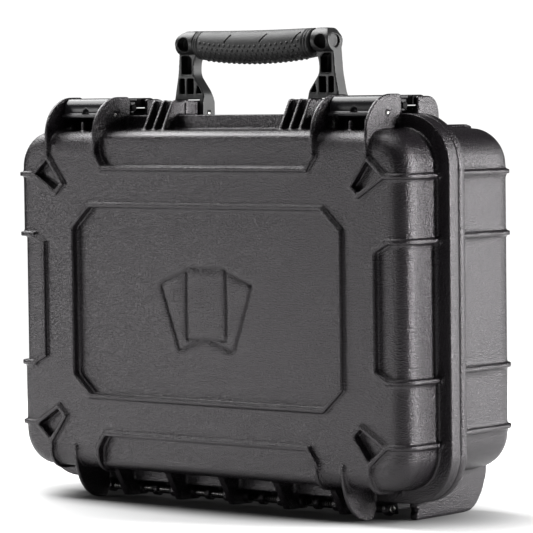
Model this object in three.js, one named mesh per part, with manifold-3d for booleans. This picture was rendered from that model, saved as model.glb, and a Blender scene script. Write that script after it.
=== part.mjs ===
// Hard protector case for trading cards: a deep base and a shallower lid, both ribbed
// injection mouldings, joined by a pinned hinge, closed by two double-throw latches and
// carried by a folding handle. It stands on its hinge side with the handle on top.
//
// Millimetres. +Z is up, +X is along the handle, and the lid faces -Y.
// The origin is the middle of the footprint, on the floor.
import * as THREE from 'three';
import { mergeVertices } from 'three/addons/utils/BufferGeometryUtils.js';
import Module from 'manifold-3d';

const wasm = await Module();
wasm.setup();

// ---------------------------------------------------------------- driving dimensions

const GAP = 0.3; // clearance between neighbouring pieces
const WALL = 3.5; // moulded wall thickness
const PARTING_Y = -25.4; // plane where the lid meets the base
const LID_FACE_Y = -76; // main outer face of the lid
const BASE_FACE_Y = 68; // main outer face of the base
const LID = { halfW: 206, halfH: 140, midZ: 167, corner: 30, edge: 14 };
const BASE = { halfW: 206, halfH: 136, midZ: 171, corner: 30, edge: 20 };
const MID_Z = LID.midZ;
const LID_LOW_Z = LID.midZ - LID.halfH;
const BASE_LOW_Z = BASE.midZ - BASE.halfH;
const WALL_TOP_Z = LID.midZ + LID.halfH; // the same for both shells

const RIM_HALF_W = 219;
const RIM_HALF_H = 152.5;
const RIM_CORNER_R = 42;
const LID_RIM_Y = -37.3; // front of the lid's rim flange
const BASE_RIM_Y = -17; // back of the base's rim flange
const RIM_TOP_Z = MID_Z + RIM_HALF_H;
const RIM_LOW_Z = MID_Z - RIM_HALF_H;

const RIDGE_H = 3; // how far ridges and ribs stand out of a shell
const RIDGE_W = 3.6;
const RECESS = 3.5; // how far a framed panel sits below the face
const SIDE_RECESS = 2; // how far the middle of a side wall sits below its ends
const CENTRE_Y = -(LID_FACE_Y - RIDGE_H + BASE_FACE_Y + RIDGE_H) / 2; // moves the middle to y = 0
const LID_RIB_Z = [54.1, 104.3]; // side rib heights from the middle, up and down
const BASE_RIB_Z = [52.5, 101.5];
const OCTAGON = { halfW: 144, halfH: 81, cutW: 20, cutH: 18.6 };
const PANEL = { halfW: 108.5, edge: 109.6, outX: 116, outZ: 121 };
const KITE = { top: [169, 121.5], outer: [188.6, 104.4], low: [160.4, 87], inner: [150.3, 96.6] };
const SIDE_FRAME = { x: 175, z: 47, outX: 188.7 };
const TOP_RIDGE_END_Y = 57; // where the two ridges on top of the base stop

const CHEEK_X = [116, 169.4]; // latch cheeks, one pair each side
const CHEEK_T = 3;
const CHEEK_TOP_Z = 335;
const LATCH_X = (CHEEK_X[0] + CHEEK_X[1]) / 2;
const LATCH_HALF_W = 24.4;
const LID_PIN = [-52, 320.2]; // y, z of the pin that carries the latch
const LEVER_PIN = [-25, 325.7]; // y, z of the pin between link and lever
const CATCH_BAR = [-3, 322]; // y, z of the bar the latch closes over
const CATCH_BAR_R = 3.5;
const LATCH_PIN_R = 1.5;
const SLEEVE_R = 3.4;
const LATCH_TOP_Z = 334;
const LATCH_FRONT_Y = -58;
const LUG_OFFSETS = [11.4, 20.8]; // lever lugs, from the middle of the latch
const SPINE_HALF_W = 9; // the link's spine, between the inner lugs

const HINGE = [PARTING_Y, 7.5]; // y, z of the hinge axis
const HINGE_PIN_R = 2;
const HINGE_HEAD_R = 3.2;
const KNUCKLE_R = 5.5;
const GUSSET_PITCH = 57.6;
const GUSSETS = [-2, -1, 0, 1, 2];
const GUSSET_T = 6;
const KNUCKLE_W = 10;
const BASE_KNUCKLE_W = 6;
const BASE_KNUCKLE_X = [18.8, 38.8, 76.4, 96.4, 147.5];
const HINGE_PIN_END_X = 151.6;

const HANDLE_PIVOT = [-1.5, 320.5]; // y, z
const HANDLE_PIN_R = 2;
const ARM_FRONT_Y = -7.5;
const ARM_BACK_Y = 3.5;
const ARM_IN_X = 55.5; // inner edge of an arm's foot
const ARM_OUT_X = 87.5;
const ARM_FOOT_R = 7.5; // rounding of the foot about the pivot
const ARM_LOW_Z = 312;
const BRACKET_X = [60.4, 83.6];
const BRACKET_TOP_Z = 331.5;
const SHOULDER = [-4.4, 378.4]; // y, z of the domed top of an arm
const SHOULDER_R = 10;
const GRIP = [-4, 377]; // y, z
const GRIP_END_R = 12;
const GRIP_MID_R = 14;
const GRIP_HALF_L = 62;
const CORE_R = 7.5;

const FOOT = { x: 171.5, topW: 11, floorW: 6, floorEnd: 40, curve: [26, 38] }; // base feet
const STAY = { x: 130, t: 6, front: -13, back: 45, low: 2 }; // plates inside the base feet
const LID_FOOT_X = 142;

const ROWS = 3; // card rows in the foam
const ROW_W = 79;
const ROW_HALF_L = 182;
const ROW_WALL = 8;
const FOAM_FRONT_Y = -18;
const ROW_FLOOR_Y = 58;
const LID_FOAM_T = 34;
const SPACER_L = 30;

const SEGMENTS = 4; // steps in a quarter round of a large corner

// ---------------------------------------------------------------- materials

function finish(color, roughness, metalness = 0) {
  return new THREE.MeshStandardMaterial({ color, roughness, metalness });
}

const shellPlastic = finish(0x2c2a2c, 0.55);
const glossPlastic = finish(0x1b1b1d, 0.25);
const gripRubber = finish(0x262628, 0.8);
const sealRubber = finish(0x3a3a3c, 0.7);
const foam = finish(0x232325, 0.95);
const steel = finish(0xc8c8ca, 0.3, 1);

// ---------------------------------------------------------------- solids

const X_AXIS = new THREE.Vector3(1, 0, 0);
const Y_AXIS = new THREE.Vector3(0, 1, 0);
const Z_AXIS = new THREE.Vector3(0, 0, 1);

function solidOf(geometry) {
  geometry.deleteAttribute('normal');
  geometry.deleteAttribute('uv');
  const merged = mergeVertices(geometry, 1e-4);
  return new wasm.Manifold(new wasm.Mesh({
    numProp: 3,
    vertProperties: merged.getAttribute('position').array,
    triVerts: Uint32Array.from(merged.getIndex().array),
  }));
}

function join(solids) {
  return solids.reduce((sum, next) => sum.add(next));
}

function outline(points) {
  return new THREE.Shape(points.map(([a, b]) => new THREE.Vector2(a, b)));
}

function extrude(shape, depth, basis, origin, options = {}) {
  const geometry = new THREE.ExtrudeGeometry(shape, {
    depth, bevelEnabled: false, curveSegments: SEGMENTS, ...options,
  });
  geometry.applyMatrix4(basis.setPosition(...origin));
  return solidOf(geometry);
}

// An outline in (x, z), from the plane y = back to the plane y = front.
function prismY(shape, back, front, options) {
  const basis = new THREE.Matrix4().makeBasis(X_AXIS, Z_AXIS, Y_AXIS.clone().negate());
  return extrude(shape, back - front, basis, [0, back, 0], options);
}

// An outline in (y, z), from x = low to x = high.
function prismX(shape, low, high, options) {
  const basis = new THREE.Matrix4().makeBasis(Y_AXIS, Z_AXIS, X_AXIS);
  return extrude(shape, high - low, basis, [low, 0, 0], options);
}

function box(x0, x1, y0, y1, z0, z1) {
  const geometry = new THREE.BoxGeometry(x1 - x0, y1 - y0, z1 - z0);
  geometry.translate((x0 + x1) / 2, (y0 + y1) / 2, (z0 + z1) / 2);
  return solidOf(geometry);
}

function rod([y, z], radius, x0, x1, segments = 6) {
  const shape = new THREE.Shape().absarc(y, z, radius, 0, 2 * Math.PI, false);
  return prismX(shape, x0, x1, { curveSegments: segments });
}

function roundRect(halfW, halfH, radius, midZ = MID_Z) {
  const shape = new THREE.Shape();
  const left = -halfW + radius;
  const right = halfW - radius;
  const low = midZ - halfH + radius;
  const high = midZ + halfH - radius;
  shape.absarc(right, high, radius, 0, Math.PI / 2, false);
  shape.absarc(left, high, radius, Math.PI / 2, Math.PI, false);
  shape.absarc(left, low, radius, Math.PI, 1.5 * Math.PI, false);
  shape.absarc(right, low, radius, 1.5 * Math.PI, 2 * Math.PI, false);
  return shape;
}

// A shell's size grown all round by a distance, or shrunk by a negative one.
function grown({ halfW, halfH, midZ, corner, edge }, by) {
  return { halfW: halfW + by, halfH: halfH + by, midZ, corner: corner + by, edge: edge + by };
}

// A rounded box, open-ended at y = open and with a rounded edge at y = end.
function tub({ halfW, halfH, midZ, corner, edge }, open, end) {
  const away = Math.sign(end - open);
  const low = away > 0 ? open - edge : end + edge;
  const high = away > 0 ? end - edge : open + edge;
  const whole = prismY(roundRect(halfW, halfH, corner, midZ), high, low, {
    bevelEnabled: true, bevelThickness: edge, bevelSize: edge, bevelOffset: -edge,
    bevelSegments: SEGMENTS,
  });
  const span = halfW + halfH + midZ;
  const keep = box(-span, span, Math.min(open, end), Math.max(open, end), -span, 2 * span);
  return whole.intersect(keep);
}

// The same outline, listed counter-clockwise.
function counterClockwise(points) {
  const area = THREE.ShapeUtils.area(points.map(([a, b]) => new THREE.Vector2(a, b)));
  return area < 0 ? points.slice().reverse() : points;
}

// A counter-clockwise outline with every edge moved inwards by the distance.
function inset(points, distance) {
  const edges = points.map((p, i) => {
    const q = points[(i + 1) % points.length];
    const length = Math.hypot(q[0] - p[0], q[1] - p[1]);
    const d = [(q[0] - p[0]) / length, (q[1] - p[1]) / length];
    return { d, p: [p[0] - d[1] * distance, p[1] + d[0] * distance] };
  });
  return points.map((_, i) => {
    const a = edges[(i + points.length - 1) % points.length];
    const b = edges[i];
    const cross = a.d[0] * b.d[1] - a.d[1] * b.d[0];
    const t = ((b.p[0] - a.p[0]) * b.d[1] - (b.p[1] - a.p[1]) * b.d[0]) / cross;
    return [a.p[0] + a.d[0] * t, a.p[1] + a.d[1] * t];
  });
}

// Points of an arc of an ellipse, from one angle to another, in degrees.
function arc([a, b], [ra, rb], from, to, steps = SEGMENTS) {
  return Array.from({ length: steps + 1 }, (_, i) => {
    const angle = THREE.MathUtils.degToRad(from + (to - from) * i / steps);
    return [a + ra * Math.cos(angle), b + rb * Math.sin(angle)];
  });
}

// An outline for the upper right quarter of the face, moved to another quarter.
function mirrored(points, sideX, sideZ) {
  return counterClockwise(points.map(([x, z]) => [x * sideX, MID_Z + z * sideZ]));
}

const SIDES = [-1, 1];
const group = new THREE.Group();

function addPart(name, solid, material) {
  const { vertProperties, triVerts } = solid.getMesh();
  const geometry = new THREE.BufferGeometry();
  geometry.setAttribute('position', new THREE.BufferAttribute(vertProperties, 3));
  geometry.setIndex(new THREE.BufferAttribute(triVerts, 1));
  geometry.translate(0, CENTRE_Y, 0);
  geometry.computeVertexNormals();
  const mesh = new THREE.Mesh(geometry, material);
  mesh.name = name;
  group.add(mesh);
}

// The word for a side of the case, as seen from the lid.
function sideName(side) {
  return side < 0 ? 'left' : 'right';
}

// Low and high x of a span given by distances from the middle, on one side of the case.
function spanX(side, near, far) {
  return side > 0 ? [near, far] : [-far, -near];
}

// ---------------------------------------------------------------- shell features

const octagonPoints = (() => {
  const { halfW, halfH, cutW, cutH } = OCTAGON;
  const quarter = [[halfW, halfH - cutH], [halfW - cutW, halfH]];
  const upper = [...quarter, ...quarter.map(([x, z]) => [-x, z]).reverse()];
  return mirrored([...upper, ...upper.map(([x, z]) => [x, -z]).reverse()], 1, 1);
})();

// A closed ridge along an outline, standing out of the recess behind it.
function ridgeRing(points, width) {
  const shape = outline(points);
  shape.holes.push(new THREE.Path(inset(points, width).map(([a, b]) => new THREE.Vector2(a, b))));
  return prismY(shape, LID_FACE_Y + RECESS, LID_FACE_Y - RIDGE_H);
}

// An open ridge along a line of points.
function ridgeLine(points) {
  const half = RIDGE_W / 2;
  return join(points.slice(1).map((q, i) => {
    const p = points[i];
    const length = Math.hypot(q[0] - p[0], q[1] - p[1]);
    const d = [(q[0] - p[0]) / length * half, (q[1] - p[1]) / length * half];
    const corners = [
      [p[0] - d[0] - d[1], p[1] - d[1] + d[0]], [p[0] - d[0] + d[1], p[1] - d[1] - d[0]],
      [q[0] + d[0] + d[1], q[1] + d[1] - d[0]], [q[0] + d[0] - d[1], q[1] + d[1] + d[0]],
    ];
    return prismY(outline(corners), LID_FACE_Y + RECESS, LID_FACE_Y - RIDGE_H);
  }));
}

// Ribs that hug a shell from its big face to its rim, cut from a slightly larger tub.
function huggingRibs(shell, open, end, bars) {
  return tub(grown(shell, RIDGE_H), open, end + Math.sign(end - open) * RIDGE_H).intersect(join(bars));
}

// Bars for the ribs on the side walls, from a given x outwards.
function sideRibBars(nearX, midZ, heights, open, end) {
  const low = Math.min(open, end) - RIDGE_H;
  const high = Math.max(open, end) + RIDGE_H;
  return SIDES.flatMap((sideX) => heights.flatMap((height) => SIDES.map((sideZ) => {
    const [x0, x1] = spanX(sideX, nearX, RIM_HALF_W);
    const z = midZ + sideZ * height;
    return box(x0, x1, low, high, z - RIDGE_W / 2, z + RIDGE_W / 2);
  })));
}

// ---------------------------------------------------------------- lid

// The middle of a side wall, between its two inner ribs, sits a little deeper.
function sideRecess(sideX, open) {
  const { x, z } = SIDE_FRAME;
  const far = RIM_HALF_W + 1;
  const frame = [[far, LID_RIB_Z[0]], [SIDE_FRAME.outX, LID_RIB_Z[0]], [x, z]];
  const lower = frame.map(([a, b]) => [a, -b]).reverse();
  const region = prismY(outline(mirrored([...frame, ...lower], sideX, 1)), open + 1, LID_FACE_Y - 1);
  return region.subtract(tub(grown(LID, -SIDE_RECESS), open + 2, LID_FACE_Y + SIDE_RECESS));
}

function lidShell() {
  const open = PARTING_Y - GAP / 2;
  const body = tub(LID, open, LID_FACE_Y);
  const rim = prismY(roundRect(RIM_HALF_W, RIM_HALF_H, RIM_CORNER_R), open, LID_RIM_Y);
  const deep = LID_FACE_Y + RECESS;
  const recesses = [prismY(outline(octagonPoints), deep, LID_FACE_Y - 1)];
  const ridges = [ridgeRing(octagonPoints, RIDGE_W)];

  for (const sideZ of SIDES) {
    const { halfW, edge, outX, outZ } = PANEL;
    const end = LID.halfH - 2;
    const panel = [[-outX, end], [-outX, outZ], [-halfW, edge], [halfW, edge], [outX, outZ], [outX, end]];
    recesses.push(prismY(outline(mirrored(panel, 1, sideZ)), deep, LID_FACE_Y - 1));
    ridges.push(ridgeLine(mirrored(panel, 1, sideZ)));
  }
  for (const sideX of SIDES) {
    for (const sideZ of SIDES) {
      const kite = mirrored([KITE.top, KITE.outer, KITE.low, KITE.inner], sideX, sideZ);
      recesses.push(prismY(outline(inset(kite, RIDGE_W / 2)), deep, LID_FACE_Y - 1));
      ridges.push(ridgeRing(kite, RIDGE_W));
    }
    const { x, z, outX } = SIDE_FRAME;
    const frame = [[outX, LID_RIB_Z[0]], [x, z], [x, -z], [outX, -LID_RIB_Z[0]]];
    ridges.push(ridgeLine(mirrored(frame, sideX, 1)));
    recesses.push(sideRecess(sideX, open));
  }

  ridges.push(...sideRibBars(SIDE_FRAME.outX - 4, LID.midZ, LID_RIB_Z, open, LID_FACE_Y));
  for (const sideX of SIDES) {
    for (const x of [PANEL.outX, KITE.top[0]]) {
      const [x0, x1] = spanX(sideX, x - RIDGE_W / 2, x + RIDGE_W / 2);
      ridges.push(box(x0, x1, LID_FACE_Y - RIDGE_H, open, 0, MID_Z - KITE.top[1] + RIDGE_W / 2));
    }
  }
  const ribs = huggingRibs(LID, open, LID_FACE_Y, ridges);

  const skin = body.subtract(join(recesses)).add(ribs).add(rim);
  const fittings = [...lidCheeks(), ...lidTabs(), ...lidGussets(), ...lidFeet()];
  const cavity = tub(grown(LID, -WALL), PARTING_Y + 1, LID_FACE_Y + RECESS + WALL);
  const cuts = [cavity, gasketRing(2.5, 5.2, PARTING_Y + 1)];
  for (const side of SIDES) {
    const [x0, x1] = spanX(side, CHEEK_X[0] - 5, CHEEK_X[1] + 5);
    cuts.push(rod(LID_PIN, LATCH_PIN_R + GAP, x0, x1));
  }
  cuts.push(rod(HINGE, HINGE_PIN_R + GAP, -RIM_HALF_W, RIM_HALF_W));
  return skin.add(join(fittings)).subtract(join(cuts));
}

// A pair of thin curved cheeks on each side holds the latch.
function lidCheeks() {
  const front = LID_FACE_Y - RIDGE_H;
  const back = LID_RIM_Y + 3.2;
  const bendR = 32;
  const bend = CHEEK_TOP_Z - bendR;
  const low = 285;
  const profile = outline([
    [front, low], ...arc([front + bendR, bend], [bendR, bendR], 180, 90), [back, CHEEK_TOP_Z],
    [back, WALL_TOP_Z - 2], [front + 29, WALL_TOP_Z - 2], [front + 4, low],
  ]);
  const posts = SIDES.map((side) => {
    const [x0, x1] = spanX(side, LID_FOOT_X - 1.5, LID_FOOT_X + 1.5);
    return box(x0, x1, -63.5, -60.5, WALL_TOP_Z - 3, 314.2);
  });
  const cheeks = SIDES.flatMap((side) => CHEEK_X.map((x) => {
    const [x0, x1] = spanX(side, x - CHEEK_T / 2, x + CHEEK_T / 2);
    return prismX(profile, x0, x1);
  }));
  return [...posts, ...cheeks];
}

// Raised tabs in front of the handle brackets, each braced by three leaning ribs.
function lidTabs() {
  const near = 61;
  const far = 84.5;
  const ribT = 3;
  const pitch = (far - near - ribT) / 2;
  const low = WALL_TOP_Z - 3;
  const rib = outline([
    [-55, low], [-40, BRACKET_TOP_Z - 2], [LID_RIM_Y, BRACKET_TOP_Z], [LID_RIM_Y + 2, BRACKET_TOP_Z],
    [LID_RIM_Y + 2, low],
  ]);
  return SIDES.flatMap((side) => {
    const ribs = [0, 1, 2].map((i) => {
      const [x0, x1] = spanX(side, near + i * pitch, near + ribT + i * pitch);
      return prismX(rib, x0, x1);
    });
    const [x0, x1] = spanX(side, near, far);
    return [box(x0, x1, LID_RIM_Y, PARTING_Y - GAP / 2, low, BRACKET_TOP_Z), ...ribs];
  });
}

// Five plates brace the hinge barrels against the lid's lower wall.
function lidGussets() {
  const web = outline([
    [-60, LID_LOW_Z + 2], [-44, HINGE[1] - KNUCKLE_R + 0.5], [HINGE[0], HINGE[1] - KNUCKLE_R],
    [HINGE[0] - GAP / 2, RIM_LOW_Z + 2], [LID_RIM_Y + 2, LID_LOW_Z + 2],
  ]);
  return GUSSETS.flatMap((i) => {
    const x = i * GUSSET_PITCH;
    return [
      prismX(web, x - GUSSET_T / 2, x + GUSSET_T / 2),
      rod(HINGE, KNUCKLE_R, x - KNUCKLE_W / 2, x + KNUCKLE_W / 2),
    ];
  });
}

// Two curved fins carry the lid's share of the weight on the floor.
function lidFeet() {
  const front = LID_FACE_Y - 2;
  const toe = [-47, 42];
  const inside = LID_RIM_Y + 4.3;
  const fin = outline([
    [front, 46], ...arc(toe, [toe[0] - front, toe[1]], 180, 270, 8), [-40, 0],
    [inside, RIM_LOW_Z + 1], [inside, LID_LOW_Z + 2], [-60, LID_LOW_Z + 2], [front + 5, 46],
  ]);
  return SIDES.map((side) => {
    const [x0, x1] = spanX(side, LID_FOOT_X - 1.5, LID_FOOT_X + 1.5);
    return prismX(fin, x0, x1);
  });
}

// A ring that follows the rim, for the seal and for the groove that holds it.
function gasketRing(halfWidth, depth, back) {
  const middleW = (RIM_HALF_W + LID.halfW - WALL) / 2 + 0.5;
  const middleH = (RIM_HALF_H + LID.halfH - WALL) / 2 + 0.5;
  const radius = RIM_CORNER_R - (RIM_HALF_W - middleW);
  const shape = roundRect(middleW + halfWidth, middleH + halfWidth, radius + halfWidth);
  shape.holes.push(roundRect(middleW - halfWidth, middleH - halfWidth, radius - halfWidth));
  return prismY(shape, back, PARTING_Y - depth);
}

// ---------------------------------------------------------------- base

function baseShell() {
  const open = PARTING_Y + GAP / 2;
  const body = tub(BASE, open, BASE_FACE_Y);
  const rim = prismY(roundRect(RIM_HALF_W, RIM_HALF_H, RIM_CORNER_R), BASE_RIM_Y, open);
  const bars = sideRibBars(SIDE_FRAME.x, BASE.midZ, BASE_RIB_Z, open, BASE_FACE_Y);
  for (const side of SIDES) {
    const [x0, x1] = spanX(side, CHEEK_X[1] - RIDGE_W / 2, CHEEK_X[1] + RIDGE_W / 2);
    bars.push(box(x0, x1, open, TOP_RIDGE_END_Y, WALL_TOP_Z - BASE.edge, WALL_TOP_Z + RIDGE_H));
  }
  const ribs = huggingRibs(BASE, open, BASE_FACE_Y, bars);
  const cavity = tub(grown(BASE, -WALL), PARTING_Y - 1, BASE_FACE_Y - WALL);
  const fittings = [...baseCheeks(), ...handleBrackets(), ...baseKnuckles(), ...baseFeet(), ...footStays()];
  const cuts = [cavity];
  for (const side of SIDES) {
    const [x0, x1] = spanX(side, ARM_IN_X - 2, ARM_OUT_X + 2);
    cuts.push(rod(HANDLE_PIVOT, HANDLE_PIN_R + GAP, x0, x1));
  }
  cuts.push(rod(HINGE, HINGE_PIN_R + GAP, -RIM_HALF_W, RIM_HALF_W));
  cuts.push(upright(VALVE.stemR + GAP, WALL_TOP_Z - 10, WALL_TOP_Z + 10));
  return join([body, rim, ribs, ...fittings]).subtract(join(cuts));
}

// Cheeks behind each latch, with the bar that the latch closes over between them.
function baseCheeks() {
  const front = -13;
  const top = CHEEK_TOP_Z - 2;
  const low = WALL_TOP_Z - 2;
  const profile = outline([
    [front, low], [front, top], ...arc([1, top - 14], [13.4, 14], 90, 0), [15.5, low],
  ]);
  const half = CATCH_BAR_R / 2;
  const bracing = outline([
    [CATCH_BAR[0] - half, low], [CATCH_BAR[0] - half, CATCH_BAR[1]],
    [CATCH_BAR[0] + half, CATCH_BAR[1]], [CATCH_BAR[0] + half, low],
  ]);
  return SIDES.flatMap((side) => {
    const [near, far] = spanX(side, CHEEK_X[0], CHEEK_X[1]);
    const cheeks = CHEEK_X.map((x) => {
      const [x0, x1] = spanX(side, x - CHEEK_T / 2, x + CHEEK_T / 2);
      return prismX(profile, x0, x1);
    });
    return [...cheeks, rod(CATCH_BAR, CATCH_BAR_R, near, far), prismX(bracing, near, far)];
  });
}

// Blocks that carry the handle's pivot pins.
function handleBrackets() {
  const [y, z] = HANDLE_PIVOT;
  const front = PARTING_Y + GAP / 2;
  const round = BRACKET_TOP_Z - z;
  const profile = outline([
    [front, WALL_TOP_Z - 2], [front, BRACKET_TOP_Z],
    ...arc([y - 1, z], [round, round], 90, 0), [y + round - 1, WALL_TOP_Z - 2],
  ]);
  return SIDES.map((side) => prismX(profile, ...spanX(side, ...BRACKET_X)));
}

// Barrels between the lid's barrels, hanging from the base's rim.
function baseKnuckles() {
  const web = outline([
    [PARTING_Y + GAP / 2, RIM_LOW_Z + 2], [HINGE[0], HINGE[1]],
    [HINGE[0] + KNUCKLE_R, HINGE[1]], [BASE_RIM_Y - 0.5, RIM_LOW_Z + 2],
  ]);
  return SIDES.flatMap((side) => BASE_KNUCKLE_X.flatMap((x) => {
    const [x0, x1] = spanX(side, x - BASE_KNUCKLE_W / 2, x + BASE_KNUCKLE_W / 2);
    return [rod(HINGE, KNUCKLE_R, x0, x1), prismX(web, x0, x1)];
  }));
}

// Long feet under the base, thinner towards the floor.
function baseFeet() {
  const front = PARTING_Y + GAP / 2;
  const { x, topW, floorW, floorEnd, curve } = FOOT;
  const joint = BASE_LOW_Z + 4;
  const side = outline([
    [front, joint], [front, 2], [front + 2, 0],
    ...arc([floorEnd, curve[1]], curve, 270, 350, 6), [floorEnd + curve[0], joint + 7],
    [55, joint + 7], [45, joint],
  ]);
  const high = joint + 8;
  return SIDES.map((sign) => {
    const [x0, x1] = spanX(sign, x - topW / 2, x + topW / 2);
    const [f0, f1] = spanX(sign, x - floorW / 2, x + floorW / 2);
    const taper = outline([
      [x0, high], [x0, BASE_LOW_Z], [f0, -1], [f1, -1], [x1, BASE_LOW_Z], [x1, high],
    ]);
    return prismX(side, x0, x1).intersect(prismY(taper, BASE_FACE_Y, PARTING_Y));
  });
}

// Plates between the feet that stiffen the base's lower wall.
function footStays() {
  const joint = BASE_LOW_Z + 2;
  const { x, t, front, back, low } = STAY;
  const round = back - FOOT.floorEnd + 10;
  const side = outline([
    [front, joint], [front, low + 2], [front + 2, low],
    ...arc([back - round, low + round], [round, round], 270, 360), [back, joint],
  ]);
  return SIDES.map((sign) => prismX(side, ...spanX(sign, x - t / 2, x + t / 2)));
}

// ---------------------------------------------------------------- pressure valve

const VALVE = { y: 26, stemR: 6, flangeR: 11, flangeH: 3, capR: 8.5, capH: 4.5, nutR: 9, nutH: 4 };

function upright(radius, z0, z1) {
  const shape = new THREE.Shape().absarc(0, 0, radius, 0, 2 * Math.PI, false);
  const basis = new THREE.Matrix4();
  return extrude(shape, z1 - z0, basis, [0, VALVE.y, z0], { curveSegments: 12 });
}

function addValve() {
  const seat = WALL_TOP_Z + GAP;
  const inside = WALL_TOP_Z - WALL - GAP;
  const flange = upright(VALVE.flangeR, seat, seat + VALVE.flangeH);
  const stem = upright(VALVE.stemR, inside - VALVE.nutH - 1, seat + 1);
  const vent = upright(1.5, inside - VALVE.nutH - 2, seat + VALVE.flangeH + 1);
  addPart('valve_body', flange.add(stem).subtract(vent), glossPlastic);
  const capLow = seat + VALVE.flangeH + GAP;
  addPart('valve_cap', upright(VALVE.capR, capLow, capLow + VALVE.capH), glossPlastic);
  const nut = upright(VALVE.nutR, inside - VALVE.nutH, inside);
  addPart('valve_nut', nut.subtract(upright(VALVE.stemR + GAP, inside - 9, inside + 1)), glossPlastic);
}

// ---------------------------------------------------------------- handle

// Outline of one arm seen from the front, in (x, z).
function armPoints(side) {
  const points = [
    [ARM_OUT_X, ARM_LOW_Z], [ARM_OUT_X, 334], [83.6, 353], [82.1, 374],
    ...arc([72, 375], [10.1, 13.8], 0, 90), [62.8, 388.8], [62.8, 371],
    [67.2, 362], [67.2, 352], [ARM_IN_X, 337], [ARM_IN_X, ARM_LOW_Z],
  ];
  return counterClockwise(points.map(([x, z]) => [x * side, z]));
}

// Pockets moulded into the front of an arm, which leave a truss of ribs.
function armPockets(side) {
  const floor = ARM_BACK_Y - 3;
  const front = SHOULDER[0] - SHOULDER_R - 1;
  const pockets = [
    [[69, 365.5], [69, 352.8], [80, 352.8], [80, 368.4], [72, 368.4]],
    [[76.8, 349.6], [76.8, 336.4], [82, 336.4], [82, 349.6]],
    [[67, 349.6], [67, 336.4], [74, 336.4], [74, 349.6]],
    [[62.8, 344.5], [58, 336.9], [64, 336.9]],
  ];
  const cuts = pockets.map((pocket) => prismY(
    outline(counterClockwise(pocket.map(([x, z]) => [x * side, z]))), floor, front,
  ));
  const hollow = new THREE.Shape().absarc(side * 73, 377.5, 5.8, 0, 2 * Math.PI, false);
  cuts.push(prismY(hollow, ARM_FRONT_Y + 1, front, { curveSegments: 6 }));
  cuts.push(rod(SHOULDER, 5.6, ...spanX(side, 79.4, ARM_OUT_X)));
  return cuts;
}

function handleFrame() {
  const [y, z] = HANDLE_PIVOT;
  const back = y + ARM_FOOT_R;
  const high = 400;
  const section = outline([
    [ARM_FRONT_Y, high], [ARM_FRONT_Y, 334], [y - ARM_FOOT_R, 329],
    ...arc([y, z], [ARM_FOOT_R, ARM_FOOT_R], 180, 360, 8), [back, 330], [ARM_BACK_Y, 337],
    [ARM_BACK_Y, high],
  ]);
  const arms = SIDES.map((side) => {
    const reach = spanX(side, ARM_IN_X - 1, ARM_OUT_X + 1);
    const plate = prismX(section, ...reach).add(rod(SHOULDER, SHOULDER_R, ...reach));
    const slot = box(...spanX(side, BRACKET_X[0] - 0.4, BRACKET_X[1] + 0.4),
      y - 20, y + 20, 300, BRACKET_TOP_Z + 2.5);
    const arm = prismY(outline(armPoints(side)), y + 20, y - 20).intersect(plate);
    return arm.subtract(join([slot, ...armPockets(side)]));
  });
  const core = rod(GRIP, CORE_R, -GRIP_HALF_L - 2, GRIP_HALF_L + 2);
  const bores = SIDES.map((side) => rod(HANDLE_PIVOT, HANDLE_PIN_R + GAP,
    ...spanX(side, ARM_IN_X - 1, ARM_OUT_X + 1)));
  return join([...arms, core]).subtract(join(bores));
}

function handleGrip() {
  const end = GRIP_HALF_L - GAP;
  const profile = [
    [CORE_R + GAP, -end], [GRIP_END_R, -end], ...[-0.8, -0.5, 0, 0.5, 0.8].map((t) => [
      GRIP_END_R + (GRIP_MID_R - GRIP_END_R) * (1 - t * t), t * end,
    ]), [GRIP_END_R, end], [CORE_R + GAP, end], [CORE_R + GAP, -end],
  ];
  const geometry = new THREE.LatheGeometry(profile.map(([r, h]) => new THREE.Vector2(r, h)), 24);
  geometry.rotateZ(-Math.PI / 2);
  geometry.translate(0, ...GRIP);
  return solidOf(geometry);
}

// ---------------------------------------------------------------- latches

// The curved cover that the fingers lift: front wall, lip and top plate.
function latchLever(side) {
  const inner = LATCH_TOP_Z - 2.7;
  const front = LATCH_FRONT_Y;
  const back = LEVER_PIN[0] + 4.5;
  const profile = outline([
    [back, inner], [back, LATCH_TOP_Z - 0.8], [back - 1, LATCH_TOP_Z], [front + 9, LATCH_TOP_Z],
    [front + 4, 332.2], [front + 1, 329.4], [front, 326], [front, 321.5], [front - 3.6, 320.3],
    [front - 3.6, 318], [front + 2.2, 318], [front + 2.4, 326.5], [front + 4.5, 330], [front + 9, inner],
  ]);
  const [low, high] = spanX(side, LATCH_X - LATCH_HALF_W, LATCH_X + LATCH_HALF_W);
  const lugR = 4.4;
  const lugs = LUG_OFFSETS.flatMap((offset) => SIDES.map((hand) => {
    const centre = side * LATCH_X + hand * offset;
    const web = outline([
      [LEVER_PIN[0] - lugR, LEVER_PIN[1]], [LEVER_PIN[0] + lugR, LEVER_PIN[1]],
      [LEVER_PIN[0] + lugR, inner + 1], [LEVER_PIN[0] - lugR, inner + 1],
    ]);
    return prismX(web, centre - 1.8, centre + 1.8).add(rod(LEVER_PIN, lugR, centre - 1.8, centre + 1.8));
  }));
  const notch = new THREE.Shape().absarc(side * LATCH_X, 321.2, 3.6, 0, Math.PI, false);
  const spineRoom = SPINE_HALF_W + 2 * GAP;
  const cuts = [
    prismY(notch, front + 1.2, front - 6, { curveSegments: 6 }),
    rod(LEVER_PIN, LATCH_PIN_R + GAP, low - 1, high + 1),
    box(...spanX(side, LATCH_X - spineRoom, LATCH_X + spineRoom),
      LEVER_PIN[0] - 5, LEVER_PIN[0] + 6, inner - 1, LATCH_TOP_Z + 1),
  ];
  return prismX(profile, low, high).add(join(lugs)).subtract(join(cuts));
}

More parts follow.
